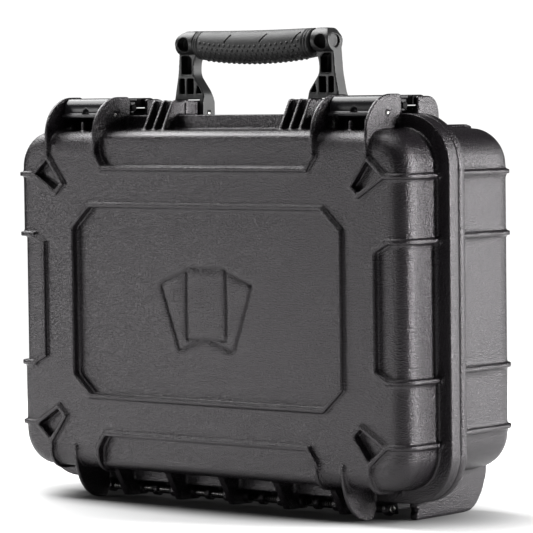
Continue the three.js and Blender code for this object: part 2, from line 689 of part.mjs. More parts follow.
// The arm from the lid's pin to the lever's pin, with a saddle over the base's catch bar.
function latchLink(side) {
  const centre = side * LATCH_X;
  const saddleFront = CATCH_BAR[0] - 12.2;
  const saddleLow = CATCH_BAR[1] + CATCH_BAR_R + 0.5;
  const spine = outline([
    [LID_PIN[0], LID_PIN[1] - 1.2], [LEVER_PIN[0], 321], [saddleFront + 1.2, 323],
    [saddleFront + 1.2, 329], [LEVER_PIN[0], 328.5], [LID_PIN[0], LID_PIN[1] + SLEEVE_R],
  ]);
  const saddle = outline([
    [saddleFront, saddleLow], [saddleFront, LATCH_TOP_Z - 1], [saddleFront + 1, LATCH_TOP_Z],
    ...arc([CATCH_BAR[0] - 1, LATCH_TOP_Z - 7], [7, 7], 90, 0), [CATCH_BAR[0] + 6, saddleLow],
  ]);
  const parts = [
    prismX(spine, centre - SPINE_HALF_W, centre + SPINE_HALF_W),
    rod(LID_PIN, SLEEVE_R, centre - 20, centre + 20),
    rod(LEVER_PIN, 4.2, centre - SPINE_HALF_W, centre + SPINE_HALF_W),
    prismX(saddle, centre - LATCH_HALF_W, centre + LATCH_HALF_W),
  ];
  const cuts = [
    rod(LID_PIN, LATCH_PIN_R + GAP, centre - 30, centre + 30),
    rod(LEVER_PIN, LATCH_PIN_R + GAP, centre - 30, centre + 30),
  ];
  return join(parts).subtract(join(cuts));
}

function addLatch(side) {
  const name = sideName(side);
  addPart(`latch_lever_${name}`, latchLever(side), glossPlastic);
  addPart(`latch_link_${name}`, latchLink(side), glossPlastic);
  addPart(`latch_lid_pin_${name}`,
    rod(LID_PIN, LATCH_PIN_R, ...spanX(side, CHEEK_X[0] - 2.4, CHEEK_X[1] + 2.4)), steel);
  addPart(`latch_lever_pin_${name}`,
    rod(LEVER_PIN, LATCH_PIN_R, ...spanX(side, LATCH_X - LATCH_HALF_W, LATCH_X + LATCH_HALF_W)),
    glossPlastic);
}

// ---------------------------------------------------------------- foam

function rowMiddleZ(row) {
  return BASE.midZ + (row - (ROWS - 1) / 2) * (ROW_W + ROW_WALL);
}

function baseFoam() {
  const back = BASE_FACE_Y - WALL - GAP;
  const block = tub(grown(BASE, -WALL - GAP), FOAM_FRONT_Y, back);
  const rows = Array.from({ length: ROWS }, (_, row) => {
    const z = rowMiddleZ(row);
    return box(-ROW_HALF_L, ROW_HALF_L, FOAM_FRONT_Y - 1, ROW_FLOOR_Y, z - ROW_W / 2, z + ROW_W / 2);
  });
  const valveRoom = box(-14, 14, VALVE.y - 14, VALVE.y + 14, WALL_TOP_Z - WALL - 10, WALL_TOP_Z);
  return block.subtract(join([...rows, valveRoom]));
}

function addFoam() {
  addPart('base_foam', baseFoam(), foam);
  for (let row = 0; row < ROWS; row += 1) {
    const z = rowMiddleZ(row);
    const half = ROW_W / 2 - GAP;
    const spacer = box(ROW_HALF_L - SPACER_L, ROW_HALF_L - GAP, FOAM_FRONT_Y + 8, ROW_FLOOR_Y - GAP,
      z - half, z + half);
    addPart(`row_spacer_${row + 1}`, spacer, foam);
  }
  const pad = tub(grown(LID, -WALL - GAP), LID_FACE_Y + LID_FOAM_T, LID_FACE_Y + RECESS + WALL + GAP);
  addPart('lid_foam', pad, foam);
}

// ---------------------------------------------------------------- assembly

addPart('base_shell', baseShell(), shellPlastic);
addPart('lid_shell', lidShell(), shellPlastic);
addPart('lid_gasket', gasketRing(2.2, 4.9, PARTING_Y - GAP / 2), sealRubber);
addPart('handle_frame', handleFrame(), glossPlastic);
addPart('handle_grip', handleGrip(), gripRubber);
for (const side of SIDES) {
  addPart(`handle_pin_${sideName(side)}`,
    rod(HANDLE_PIVOT, HANDLE_PIN_R, ...spanX(side, ARM_IN_X - 0.5, ARM_OUT_X + 0.5)), steel);
  const hingeHead = rod(HINGE, HINGE_HEAD_R, ...spanX(side, HINGE_PIN_END_X - 0.8, HINGE_PIN_END_X));
  addPart(`hinge_pin_${sideName(side)}`,
    rod(HINGE, HINGE_PIN_R, ...spanX(side, 1, HINGE_PIN_END_X)).add(hingeHead), steel);
  addLatch(side);
}
addValve();
addFoam();

export default group;
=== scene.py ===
"""Looks for the hard trading-card case: fine mouldings, rubber, foam, steel and studio light.

Every piece is modelled in millimetres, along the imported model's axes, and scaled to metres when it is placed.
"""

from collections import namedtuple
from math import copysign, cos, degrees, exp, hypot, pi, radians, sin

import bmesh
import bpy
import numpy as np
from mathutils import Matrix, Vector


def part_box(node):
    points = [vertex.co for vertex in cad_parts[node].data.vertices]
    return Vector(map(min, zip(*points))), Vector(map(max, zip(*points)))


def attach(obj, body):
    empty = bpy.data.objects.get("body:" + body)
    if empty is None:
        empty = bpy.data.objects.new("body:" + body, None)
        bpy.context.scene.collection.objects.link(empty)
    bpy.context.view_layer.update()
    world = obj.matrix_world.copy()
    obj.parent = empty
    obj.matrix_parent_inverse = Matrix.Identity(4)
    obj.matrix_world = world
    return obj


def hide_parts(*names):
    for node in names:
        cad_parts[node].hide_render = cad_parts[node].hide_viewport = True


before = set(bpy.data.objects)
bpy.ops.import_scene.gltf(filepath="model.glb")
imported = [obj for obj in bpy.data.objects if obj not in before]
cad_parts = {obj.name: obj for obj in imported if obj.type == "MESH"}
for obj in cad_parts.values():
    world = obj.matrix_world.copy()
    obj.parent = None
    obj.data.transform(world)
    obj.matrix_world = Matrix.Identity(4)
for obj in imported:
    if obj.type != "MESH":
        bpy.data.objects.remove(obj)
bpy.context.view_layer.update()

MM = 0.001
SHIFT = Vector((0.0, 4.0, 0.0))  # where the frame has the point that sizes are measured from


def box_mm(node):
    """A CAD node's lowest and highest corners in millimetres."""
    low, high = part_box(node)
    return low / MM - SHIFT, high / MM - SHIFT


def middle_mm(node):
    """The middle of a CAD node's box in millimetres."""
    low, high = box_mm(node)
    return (low + high) / 2


# ---- sizes from the frame

LID_LOW, LID_HIGH = box_mm("lid_shell")
BASE_HIGH = box_mm("base_shell")[1]
GASKET_LOW, GASKET_HIGH = box_mm("lid_gasket")
FOAM_LOW, FOAM_HIGH = box_mm("base_foam")
SEAM = 0.15  # half of the gap between the lid and the base
PARTING_Y = GASKET_HIGH.y + SEAM
RIDGE_H = 3.0
LID_FACE_Y = LID_LOW.y + RIDGE_H
BASE_FACE_Y = BASE_HIGH.y - RIDGE_H
RIM_HALF_W = LID_HIGH.x
CHEEK_TOP_Z = LID_HIGH.z
LID_PIN = middle_mm("latch_lid_pin_right").yz
LEVER_PIN = middle_mm("latch_lever_pin_right").yz
HANDLE_PIVOT = middle_mm("handle_pin_right").yz
HINGE = middle_mm("hinge_pin_right").yz

# ---- sizes of the mouldings

Shell = namedtuple("Shell", "half_w half_h mid_z corner edge draft")
LID = Shell(206.0, 140.0, 167.0, 30.0, 14.0, 1.5)
BASE = Shell(206.0, 136.0, 171.0, 30.0, 20.0, 1.0)
WALL = 3.5
MID_Z = LID.mid_z
LID_LOW_Z = LID.mid_z - LID.half_h
BASE_LOW_Z = BASE.mid_z - BASE.half_h
WALL_TOP_Z = LID.mid_z + LID.half_h
RIM_HALF_H = 152.5
RIM_CORNER_R = 42.0
RIM_LOW_Z = MID_Z - RIM_HALF_H
LID_RIM_Y = PARTING_Y - 11.9
BASE_RIM_Y = PARTING_Y + 8.4
RIDGE_W = 3.6
RECESS = 3.5
SIDE_RECESS = 2.0
LID_RIB_Z = (54.1, 104.3)
BASE_RIB_Z = (52.5, 101.5)
OCTAGON = ((144.0, 62.4), (124.0, 81.0))
PANEL_HALF_W, PANEL_EDGE, PANEL_OUT_X, PANEL_OUT_Z = 108.5, 109.6, 116.0, 121.0
KITE = ((169.0, 121.5), (150.3, 96.6), (160.4, 87.0), (188.6, 104.4))
SIDE_FRAME_X, SIDE_FRAME_Z, SIDE_FRAME_OUT_X = 175.0, 47.0, 188.7
TOP_RIDGE_END_Y = 57.0

CHEEK_X = (116.0, 169.4)
CHEEK_T = 3.0
CHEEK_FOOT_Z = 285.0
LATCH_X = sum(CHEEK_X) / 2
LATCH_W = 48.8
LATCH_TOP_Z = 334.0
LATCH_FRONT_Y = -58.0
CATCH_BAR, CATCH_BAR_R = (-3.0, 322.0), 3.5
PIN_R = 2.0  # hinge and handle pins
LATCH_PIN_R = 1.5
PIN_GAP = 0.3
BORE_R, LATCH_BORE_R = PIN_R + PIN_GAP, LATCH_PIN_R + PIN_GAP
PIN_HEAD_T = 0.8
SPINE_W = 18.0
GUSSET_PITCH = 57.6
GUSSET_T = 6.0
KNUCKLE_R = 5.5
KNUCKLE_W = 10.0
BASE_KNUCKLE_W = 6.0
BASE_KNUCKLE_X = (18.8, 38.8, 76.4, 96.4, 147.5)
LID_FOOT_X, FIN_T = 142.0, 3.0  # the lid's fins, and the posts above them
FOOT_X, FOOT_TOP_W, FOOT_FLOOR_W = 171.5, 11.0, 6.0
STAY_X, STAY_T = 130.0, 6.0

BRACKET_X = (60.4, 83.6)
BRACKET_TOP_Z = 331.5
ARM_FRONT_Y, ARM_BACK_Y = -7.5, 3.5
ARM_IN_X, ARM_OUT_X = 55.5, 87.5
ARM_FOOT_R = 7.5
SHOULDER, SHOULDER_R = (-4.2, 378.6), 9.6
GRIP_AXIS = (-4.0, 377.0)
GRIP_HALF_L, GRIP_END_R, GRIP_MID_R = 61.7, 11.8, 13.6
GRIP_SAG = 2.5  # how far the middle of the grip hangs below its ends
CORE_R = 7.5  # the handle's bar inside the grip

VALVE_XY = tuple(middle_mm("valve_body").xy)
VALVE_STEM_R, VALVE_FLANGE_R, VALVE_VENT_R = 6.0, 11.0, 1.5
VALVE_ROOM = 28.0  # the side of the foam's cut-out round the valve
SEAL_HALF_W = 2.2
CARD_HALF_W, CARD_HALF_H, CARD_CORNER = 21.0, 29.0, 3.0  # the cards engraved in the lid
FOAM_CONE_PITCH = 19.0

SIDES = (-1, 1)
HANDS = ((-1, "left"), (1, "right"))

# ---- outlines


def arc(centre, radii, start, end, steps=16):
    """Points of an ellipse's arc, angles in degrees."""
    angles = np.radians(np.linspace(start, end, steps + 1))
    return [(centre[0] + radii[0] * cos(a), centre[1] + radii[1] * sin(a)) for a in angles]


def circle(centre, radius, steps=40):
    """A closed circle, without its repeated last point."""
    return arc(centre, (radius, radius), 0, 360, steps)[:-1]


def round_rect(half_w, half_h, radius, mid_z=MID_Z, steps=16):
    """A rectangle with round corners, around x = 0."""
    points = []
    for corner, (sx, sz) in enumerate(((1, 1), (-1, 1), (-1, -1), (1, -1))):
        centre = (sx * (half_w - radius), mid_z + sz * (half_h - radius))
        points += arc(centre, (radius, radius), 90 * corner, 90 * corner + 90, steps)
    return points


def area(points):
    """Signed area of an outline, positive when it runs counter-clockwise."""
    following = points[1:] + points[:1]
    return sum(a[0] * b[1] - b[0] * a[1] for a, b in zip(points, following)) / 2


def counter_clockwise(points):
    points = list(points)
    return points if area(points) > 0 else points[::-1]


def inset(points, distance):
    """A counter-clockwise outline with every edge moved inwards."""
    result = []
    for i, here in enumerate(points):
        before, after = Vector(points[i - 1]), Vector(points[(i + 1) % len(points)])
        d1 = (Vector(here) - before).normalized()
        d2 = (after - Vector(here)).normalized()
        p1 = Vector(here) + Vector((-d1.y, d1.x)) * distance
        p2 = Vector(here) + Vector((-d2.y, d2.x)) * distance
        cross = d1.x * d2.y - d1.y * d2.x
        along = 0 if abs(cross) < 1e-6 else ((p2 - p1).x * d2.y - (p2 - p1).y * d2.x) / cross
        result.append(tuple(p1 + d1 * along))
    return result


def quarter(points, side_x, side_z):
    """An outline given for the upper right of the face, moved to another quarter."""
    return counter_clockwise([(x * side_x, MID_Z + z * side_z) for x, z in points])


def rounded(points, radius, steps=5):
    """The same outline with each corner rounded."""
    result = []
    for i, here in enumerate(points):
        here = Vector(here)
        to_before = Vector(points[i - 1]) - here
        to_after = Vector(points[(i + 1) % len(points)]) - here
        reach = min(radius, to_before.length / 2.2, to_after.length / 2.2)
        a = here + to_before.normalized() * reach
        b = here + to_after.normalized() * reach
        for k in range(steps + 1):
            t = k / steps
            result.append(tuple(a * (1 - t) ** 2 + here * 2 * t * (1 - t) + b * t ** 2))
    return result


# ---- solids


def add_object(name, data):
    obj = bpy.data.objects.new(name, data)
    bpy.context.scene.collection.objects.link(obj)
    return obj


def to_mesh(name, verts, faces):
    mesh = bpy.data.meshes.new(name)
    mesh.from_pydata([tuple(v) for v in verts], [], faces)
    bm = bmesh.new()
    bm.from_mesh(mesh)
    bmesh.ops.recalc_face_normals(bm, faces=bm.faces)
    bm.to_mesh(mesh)
    bm.free()
    return mesh


def lift(axis, point, depth):
    """Puts an outline's point at a depth along x or y, or along z for outlines in (x, y)."""
    a, b = point
    return {"x": (depth, a, b), "y": (a, depth, b), "z": (a, b, depth)}[axis]


def bridge(loops, first):
    """Quads between successive loops, with vertex numbers counted from first."""
    count = len(loops[0])
    return [
        (first + r * count + i, first + r * count + (i + 1) % count,
         first + (r + 1) * count + (i + 1) % count, first + (r + 1) * count + i)
        for r in range(len(loops) - 1) for i in range(count)
    ]


def prism(axis, points, low, high):
    """An outline drawn out along an axis: (y, z) along x, (x, z) along y, (x, y) along z."""
    count = len(points)
    verts = [lift(axis, p, low) for p in points] + [lift(axis, p, high) for p in points]
    faces = [tuple(range(count)), tuple(range(count, 2 * count))]
    return to_mesh("prism", verts, faces + bridge((points, points), 0))


def ring(axis, outer, inner, low, high):
    """The band between two outlines of equal length, drawn out along an axis."""
    count = len(outer)
    verts = [lift(axis, p, d) for d in (low, high) for loop in (outer, inner) for p in loop]
    faces = []
    for i in range(count):
        j = (i + 1) % count
        a, b, c, d = 0, count, 2 * count, 3 * count
        faces += [(a + i, a + j, b + j, b + i), (c + i, c + j, d + j, d + i),
                  (a + i, a + j, c + j, c + i), (b + i, b + j, d + j, d + i)]
    return to_mesh("ring", verts, faces)


def box(x, y, z):
    """A box from three (low, high) pairs."""
    return prism("z", [(x[0], y[0]), (x[1], y[0]), (x[1], y[1]), (x[0], y[1])], z[0], z[1])


def rod(centre, radius, x0, x1, steps=32):
    """A round bar along x."""
    return prism("x", circle(centre, radius, steps), x0, x1)


def grown(shell, by):
    """A shell's size grown all round by a distance, or shrunk by a negative one."""
    return shell._replace(half_w=shell.half_w + by, half_h=shell.half_h + by,
                          corner=shell.corner + by, edge=shell.edge + by)


def tub_rows(shell, open_y, end_y, steps=12):
    """Loops of points down a rounded box, from its open end to its flat end."""
    away = copysign(1, end_y - open_y)
    rows = [(open_y, -shell.draft)]
    for phi in np.radians(np.linspace(0, 90, steps + 1)):
        rows.append((end_y - away * shell.edge * (1 - sin(phi)), shell.edge * (1 - cos(phi))))
    loops = []
    for y, drop in rows:
        outline = round_rect(shell.half_w - drop, shell.half_h - drop, max(shell.corner - drop, 0.5),
                             mid_z=shell.mid_z)
        loops.append([(x, y, z) for x, z in outline])
    return loops


def capped(name, loops):
    """A closed solid from a stack of loops, with flat ends."""
    count = len(loops[0])
    verts = [p for loop in loops for p in loop]
    faces = bridge(loops, 0)
    faces += [tuple(range(count)), tuple(range(len(verts) - count, len(verts)))]
    return to_mesh(name, verts, faces)


def tub(shell, open_y, end_y, wall=None, floor=None):
    """A rounded box, solid or hollow, that is open-ended at open_y and rounded at end_y."""
    loops = tub_rows(shell, open_y, end_y)
    if wall is not None:
        inner_end = end_y - copysign(floor, end_y - open_y)
        loops = loops[::-1] + tub_rows(grown(shell, -wall), open_y, inner_end)
    return capped("tub", loops)


def turned(centre, stations, steps=48):
    """A turned bar along x from (x, radius) stations."""
    loops = [[(x, y, z) for y, z in circle(centre, radius, steps)] for x, radius in stations]
    return capped("turned", loops)


def joined(meshes):
    """One mesh that holds several, still overlapping."""
    bm = bmesh.new()
    for mesh in meshes:
        bm.from_mesh(mesh)
        bpy.data.meshes.remove(mesh)
    result = bpy.data.meshes.new("joined")
    bm.to_mesh(result)
    bm.free()
    return result


def modified(mesh, *settings):
    """The mesh after modifiers, each given as (type, {property: value})."""
    obj = add_object("work", mesh)
    for kind, values in settings:
        modifier = obj.modifiers.new(kind.lower(), kind)
        for key, value in values.items():
            setattr(modifier, key, value)
    graph = bpy.context.evaluated_depsgraph_get()
    result = bpy.data.meshes.new_from_object(obj.evaluated_get(graph))
    bpy.data.objects.remove(obj)
    bpy.data.meshes.remove(mesh)
    return result


def combined(mesh, other, operation):
    """Boolean of two meshes; both are used up."""
    tool = add_object("tool", other)
    result = modified(mesh, ("BOOLEAN", {"operation": operation, "object": tool, "solver": "EXACT",
                                         "use_self": True}))
    bpy.data.objects.remove(tool)
    bpy.data.meshes.remove(other)
    return result


def cut(mesh, *tools):
    return combined(mesh, joined(list(tools)), "DIFFERENCE")


def moulded(mesh, voxel, soften=3, thin=0.15):
    """Overlapping solids fused into one skin whose edges are softly rounded."""
    voxel *= 1.0
    fine = modified(mesh, ("REMESH", {"mode": "VOXEL", "voxel_size": voxel, "adaptivity": 0.0}),
                    ("SMOOTH", {"factor": 0.5, "iterations": soften}))
    return modified(fine, ("REMESH", {"mode": "VOXEL", "voxel_size": voxel, "adaptivity": thin}))


def place(name, mesh, body, materials, *, replaces):
    """Scales a finished mesh to metres and makes it a piece of the object."""
    mesh.transform(Matrix.Scale(MM, 4) @ Matrix.Translation(SHIFT))
    mesh.name = name
    mesh.materials.clear()
    for material in materials:
        mesh.materials.append(material)
    mesh.shade_smooth()
    obj = add_object(name, mesh)
    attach(obj, body)
    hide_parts(*replaces)
    return obj


# ---- materials


class Nodes:
    """A short way to wire a material's nodes."""

    def __init__(self, name):
        self.material = bpy.data.materials.new(name)
        self.material.use_nodes = True
        self.tree = self.material.node_tree
        self.tree.nodes.clear()
        self.output = self.add("OutputMaterial")
        self.shader = self.add("BsdfPrincipled")
        self.feed(self.output.inputs["Surface"], self.shader.outputs[0])
        self.coords = self.add("TexCoord").outputs["Object"]

    def add(self, kind, inputs=None, **properties):
        node = self.tree.nodes.new("ShaderNode" + kind)
        for key, value in properties.items():
            setattr(node, key, value)
        for key, value in (inputs or {}).items():
            self.feed(node.inputs[key], value)
        return node

    def feed(self, socket, value):
        if isinstance(value, bpy.types.NodeSocket):
            self.tree.links.new(value, socket)
        else:
            socket.default_value = value

    def noise(self, scale, detail=2.0, roughness=0.5, vector=None):
        inputs = {"Vector": vector or self.coords, "Scale": scale, "Detail": detail, "Roughness": roughness}
        return self.add("TexNoise", inputs).outputs["Fac"]

    def cells(self, scale, **smooth):
        inputs = {"Vector": self.coords, "Scale": scale, **smooth}
        feature = "SMOOTH_F1" if smooth else "F1"
        return self.add("TexVoronoi", inputs, feature=feature).outputs["Distance"]

    def remap(self, value, low, high, to_low=0.0, to_high=1.0, ramp="LINEAR"):
        limits = {"Value": value, "From Min": low, "From Max": high, "To Min": to_low, "To Max": to_high}
        return self.add("MapRange", limits, interpolation_type=ramp).outputs["Result"]

    def mix(self, factor, a, b):
        node = self.add("Mix", data_type="RGBA")
        for key, value in (("Factor", factor), ("A", a), ("B", b)):
            self.feed(node.inputs[key], value)
        return node.outputs["Result"]

    def add_up(self, a, b, weight=1.0):
        scaled = self.add("Math", {0: b, 1: weight}, operation="MULTIPLY").outputs[0]
        return self.add("Math", {0: a, 1: scaled}, operation="ADD").outputs[0]

    def bump(self, height, distance, strength=1.0):
        inputs = {"Height": height, "Distance": distance, "Strength": strength}
        return self.add("Bump", inputs).outputs["Normal"]

    def finish(self, **inputs):
        for key, value in inputs.items():
            self.feed(self.shader.inputs[key.replace("_", " ")], value)
        return self.material


def rgb(red, green, blue):
    return (red, green, blue, 1.0)


def grained_plastic():
    """Charcoal polypropylene with a fine pebble grain."""
    n = Nodes("grained_plastic")
    pebbles = n.cells(900, Smoothness=0.5)
    fine = n.noise(2100, detail=3)
    broad = n.noise(9, detail=3)
    height = n.add_up(pebbles, fine, 0.5)
    color = n.mix(n.remap(pebbles, 0.1, 0.75), rgb(0.012, 0.010, 0.012), rgb(0.007, 0.006, 0.007))
    color = n.mix(n.remap(broad, 0.35, 0.7, 0.0, 0.35), color, rgb(0.013, 0.011, 0.013))
    return n.finish(Base_Color=color, Roughness=n.remap(fine, 0.3, 0.7, 0.20, 0.30),
                    Normal=n.bump(height, 0.00034, 1.0), Specular_Tint=rgb(1.0, 0.96, 0.99))


def satin_plastic():
    """The same plastic where the mould is polished: rims, ridges, cheeks and fins."""
    n = Nodes("satin_plastic")
    fine = n.noise(1500, detail=3)
    broad = n.noise(14, detail=4)
    color = n.mix(n.remap(broad, 0.3, 0.7), rgb(0.006, 0.005, 0.006), rgb(0.010, 0.009, 0.010))
    return n.finish(Base_Color=color, Roughness=n.remap(broad, 0.3, 0.7, 0.20, 0.30),
                    Normal=n.bump(fine, 0.00005, 0.4), Specular_Tint=rgb(1.0, 0.96, 0.99),
                    Specular_IOR_Level=1.0)


def gloss_plastic():
    """Black nylon of the latches, smooth with faint flow marks and handling scuffs."""
    n = Nodes("gloss_plastic")
    flow = n.noise(60, detail=4, roughness=0.6)
    scuffs = n.noise(900, detail=6, roughness=0.7)
    color = n.mix(n.remap(flow, 0.3, 0.7), rgb(0.010, 0.010, 0.011), rgb(0.016, 0.015, 0.017))
    return n.finish(Base_Color=color, Roughness=n.remap(scuffs, 0.35, 0.75, 0.18, 0.32),
                    Normal=n.bump(flow, 0.0003, 0.25), Specular_IOR_Level=0.3)


def matt(name, fine, broad, dark, light, rough, bump, **extras):
    """Fine grain, given as a noise's scale and detail, over a tone that changes broadly and faintly."""
    n = Nodes(name)
    grain = n.noise(*fine)
    color = n.mix(n.remap(n.noise(*broad), 0.3, 0.7), rgb(*dark), rgb(*light))
    return n.finish(Base_Color=color, Roughness=n.remap(grain, 0.3, 0.7, *rough),
                    Normal=n.bump(grain, *bump), **extras)


def painted_shade_plastic():
    """Matt black copy of the latch nylon, painted shade for the latches' arms, the lever pins and the covers'
    end faces.
    """
    return matt("painted_shade_plastic", fine=(2200, 4), broad=(90, 3), dark=(0.005, 0.005, 0.005),
                light=(0.009, 0.008, 0.009), rough=(0.5, 0.65), bump=(0.0001, 0.5), Specular_IOR_Level=0.08)


def handle_plastic():
    """Satin nylon of the handle's arms."""
    return matt("handle_plastic", fine=(1900, 4), broad=(40, 3), dark=(0.008, 0.008, 0.008),
                light=(0.013, 0.013, 0.013), rough=(0.36, 0.48), bump=(0.00008, 0.5))


def grip_rubber():
    """Soft over-moulded rubber, slightly dusty in its grain."""
    return matt("grip_rubber", fine=(2400, 4, 0.65), broad=(55, 4), dark=(0.012, 0.012, 0.012),
                light=(0.020, 0.020, 0.020), rough=(0.46, 0.62), bump=(0.0001, 0.6))


def seal_rubber():
    """Dull black rubber of the seal."""
    return matt("seal_rubber", fine=(1200, 3), broad=(1200, 3), dark=(0.02, 0.02, 0.021),
                light=(0.035, 0.035, 0.036), rough=(0.45, 0.6), bump=(0.00006, 0.5))


def foam():
    """Closed-cell foam: dark, soft, with fine open pores on the cut faces, darkened in their pits as painted
    shade.
    """
    n = Nodes("foam")
    pores = n.cells(900)
    coarse = n.cells(330)
    broad = n.noise(25, detail=4)
    height = n.add_up(n.remap(pores, 0.0, 0.45), n.remap(coarse, 0.0, 0.3), 0.5)
    # Painted shade: each pore's pit is coloured darker than the foam around it.
    color = n.mix(n.remap(pores, 0.05, 0.4), rgb(0.012, 0.012, 0.013), rgb(0.034, 0.034, 0.036))
    color = n.mix(n.remap(broad, 0.35, 0.7, 0.0, 0.4), color, rgb(0.045, 0.045, 0.047))
    return n.finish(Base_Color=color, Roughness=0.95, Sheen_Weight=0.35, Sheen_Roughness=0.5,
                    Normal=n.bump(height, 0.0004, 0.8))


def bright_steel():
    """Drawn steel rod with fine turning marks round its axis."""
    n = Nodes("bright_steel")
    stretch = n.add("Mapping", {"Vector": n.coords, "Scale": (1.0, 0.03, 0.03)}).outputs[0]
    marks = n.noise(4000, detail=3, vector=stretch)
    stains = n.noise(300, detail=4)
    color = n.mix(n.remap(stains, 0.35, 0.7), rgb(0.72, 0.71, 0.69), rgb(0.55, 0.545, 0.53))
    return n.finish(Base_Color=color, Metallic=1.0, Roughness=n.remap(marks, 0.3, 0.7, 0.16, 0.34),
                    Normal=n.bump(marks, 0.00003, 0.5))


GRAINED = grained_plastic()
SATIN = satin_plastic()
GLOSS = gloss_plastic()
SHADED = painted_shade_plastic()
HANDLE = handle_plastic()
GRIP = grip_rubber()
SEAL = seal_rubber()
FOAM = foam()
STEEL = bright_steel()

# ---- camera, light and floor


def aim(azimuth, elevation, roll=0.0):
    """A rotation whose -Z looks at the object from an azimuth and elevation, in degrees."""
    az, el, turn = (radians(v) for v in (azimuth, elevation, roll))
    back = Vector((sin(az) * cos(el), -cos(az) * cos(el), sin(el)))
    right = Vector((cos(az), sin(az), 0))
    up = back.cross(right)
    right, up = (cos(turn) * right + sin(turn) * up, cos(turn) * up - sin(turn) * right)
    return Matrix((right, up, back)).transposed().to_4x4(), back


def add_camera():
    rotation, back = aim(azimuth=39.92, elevation=2.93, roll=-0.70)
    data = bpy.data.cameras.new("camera")
    data.sensor_width = 36
    data.lens = 224
    data.clip_end = 20
    camera = add_object("camera", data)
    target = (Vector((-13.5, 20.0, 193.3)) + SHIFT) * MM
    distance = 2.747
    camera.matrix_world = Matrix.Translation(target + back * distance) @ rotation
    bpy.context.scene.camera = camera


def add_panel_light(name, azimuth, elevation, distance, size, power, aim_at=(0, 0, 0.17)):
    """A softbox that faces the object, placed by angles in degrees and a distance in metres."""
    rotation, back = aim(azimuth, elevation)
    data = bpy.data.lights.new(name, "AREA")
    data.shape = "RECTANGLE"
    data.size, data.size_y = size
    data.energy = power
    add_object(name, data).matrix_world = Matrix.Translation(Vector(aim_at) + back * distance) @ rotation


def add_world():
    """A surround that the camera sees as white and that lights the object only faintly."""
    world = bpy.data.worlds.new("studio")
    world.use_nodes = True
    tree = world.node_tree
    background = tree.nodes["Background"]
    background.inputs["Color"].default_value = rgb(1.0, 1.0, 1.0)
    path = tree.nodes.new("ShaderNodeLightPath")
    level = tree.nodes.new("ShaderNodeMapRange")
    level.inputs["To Min"].default_value = 0.04
    level.inputs["To Max"].default_value = 1.05
    tree.links.new(path.outputs["Is Camera Ray"], level.inputs["Value"])
    tree.links.new(level.outputs["Result"], background.inputs["Strength"])
    bpy.context.scene.world = world


def floor_material():
    """White paper with a painted shadow under the object; for the camera it glows a little around the object,
    the glow falling to nothing near it as painted shade, and it fades out at its far edge.
    """
    half_length, half_depth = 0.215, 0.085
    n = Nodes("floor_white")
    speckle = n.noise(3, detail=2)
    radius = n.add("VectorMath", {0: n.coords}, operation="LENGTH").outputs["Value"]
    # Camera-only glow keeps the paper white; it falls to nothing near the object, which paints shade there.
    glow = n.remap(radius, 0.15, 0.42, 0.0, 0.8, ramp="SMOOTHSTEP")
    is_seen = n.add("LightPath").outputs["Is Camera Ray"]
    seen_glow = n.add("Math", {0: is_seen, 1: glow}, operation="MULTIPLY").outputs["Value"]
    paper = n.mix(speckle, rgb(0.93, 0.93, 0.93), rgb(0.95, 0.95, 0.95))
    # Painted shadow: the paper's colour darkens to near black in an oval under the object.
    squeezed = n.add("VectorMath", {0: n.coords, 1: (1 / half_length, 1 / half_depth, 1.0)},
                     operation="MULTIPLY").outputs["Vector"]
    footprint = n.add("VectorMath", {0: squeezed}, operation="LENGTH").outputs["Value"]
    shade = n.remap(footprint, 0.7, 1.35, ramp="SMOOTHSTEP")
    n.finish(Base_Color=n.mix(shade, rgb(0.12, 0.12, 0.12), paper), Roughness=0.6,
             Emission_Color=rgb(1.0, 1.0, 1.0), Emission_Strength=seen_glow)
    fade = n.remap(radius, 0.75, 1.35, ramp="SMOOTHSTEP")
    clear = n.add("BsdfTransparent").outputs[0]
    blend = n.add("MixShader", {0: fade, 1: n.shader.outputs[0], 2: clear})
    n.feed(n.output.inputs["Surface"], blend.outputs[0])
    return n.material


def add_floor():
    half = 1.4
    mesh = bpy.data.meshes.new("floor")
    mesh.from_pydata([(-half, -half, 0), (half, -half, 0), (half, half, 0), (-half, half, 0)], [],
                     [(0, 1, 2, 3)])
    mesh.materials.append(floor_material())
    floor = add_object("floor", mesh)


def add_lights():
    """Name, azimuth, elevation, distance, (width, height) and power of each softbox."""
    add_panel_light("right_box", 148, 7, 1.7, (0.9, 1.1), 14)
    add_panel_light("left_box", -48, 1, 1.9, (0.8, 0.6), 11)
    add_panel_light("edge_box", 109, 10, 2.2, (0.3, 1.5), 92)
    add_panel_light("top_box", -30, 78, 1.5, (0.9, 0.6), 8)
    add_panel_light("rim_box", -95, 50, 1.7, (1.4, 1.3), 46)


bpy.context.scene.view_settings.view_transform = "Standard"
add_camera()
add_world()
add_floor()
add_lights()

# ---- shared shell features


def span(side, near, far):
    """Low and high x of a stretch given by distances from the middle."""
    return (near, far) if side > 0 else (-far, -near)


def around(middle, width):
    """Low and high end of a stretch of a width."""
    return (middle - width / 2, middle + width / 2)


def about(side, middle, width):
    """Low and high x of a stretch of a width, given by its middle's distance from x = 0."""
    return span(side, *around(middle, width))


def bar_along(points, width, low, high):
    """Straight bars of a width that follow an open line on the face."""
    bars = []
    for (ax, az), (bx, bz) in zip(points, points[1:]):
        d = Vector((bx - ax, bz - az)).normalized() * width / 2
        corners = [(ax - d.x - d.y, az - d.y + d.x), (ax - d.x + d.y, az - d.y - d.x),
                   (bx + d.x + d.y, bz + d.y - d.x), (bx + d.x - d.y, bz + d.y + d.x)]
        bars.append(prism("y", corners, low, high))
    return bars


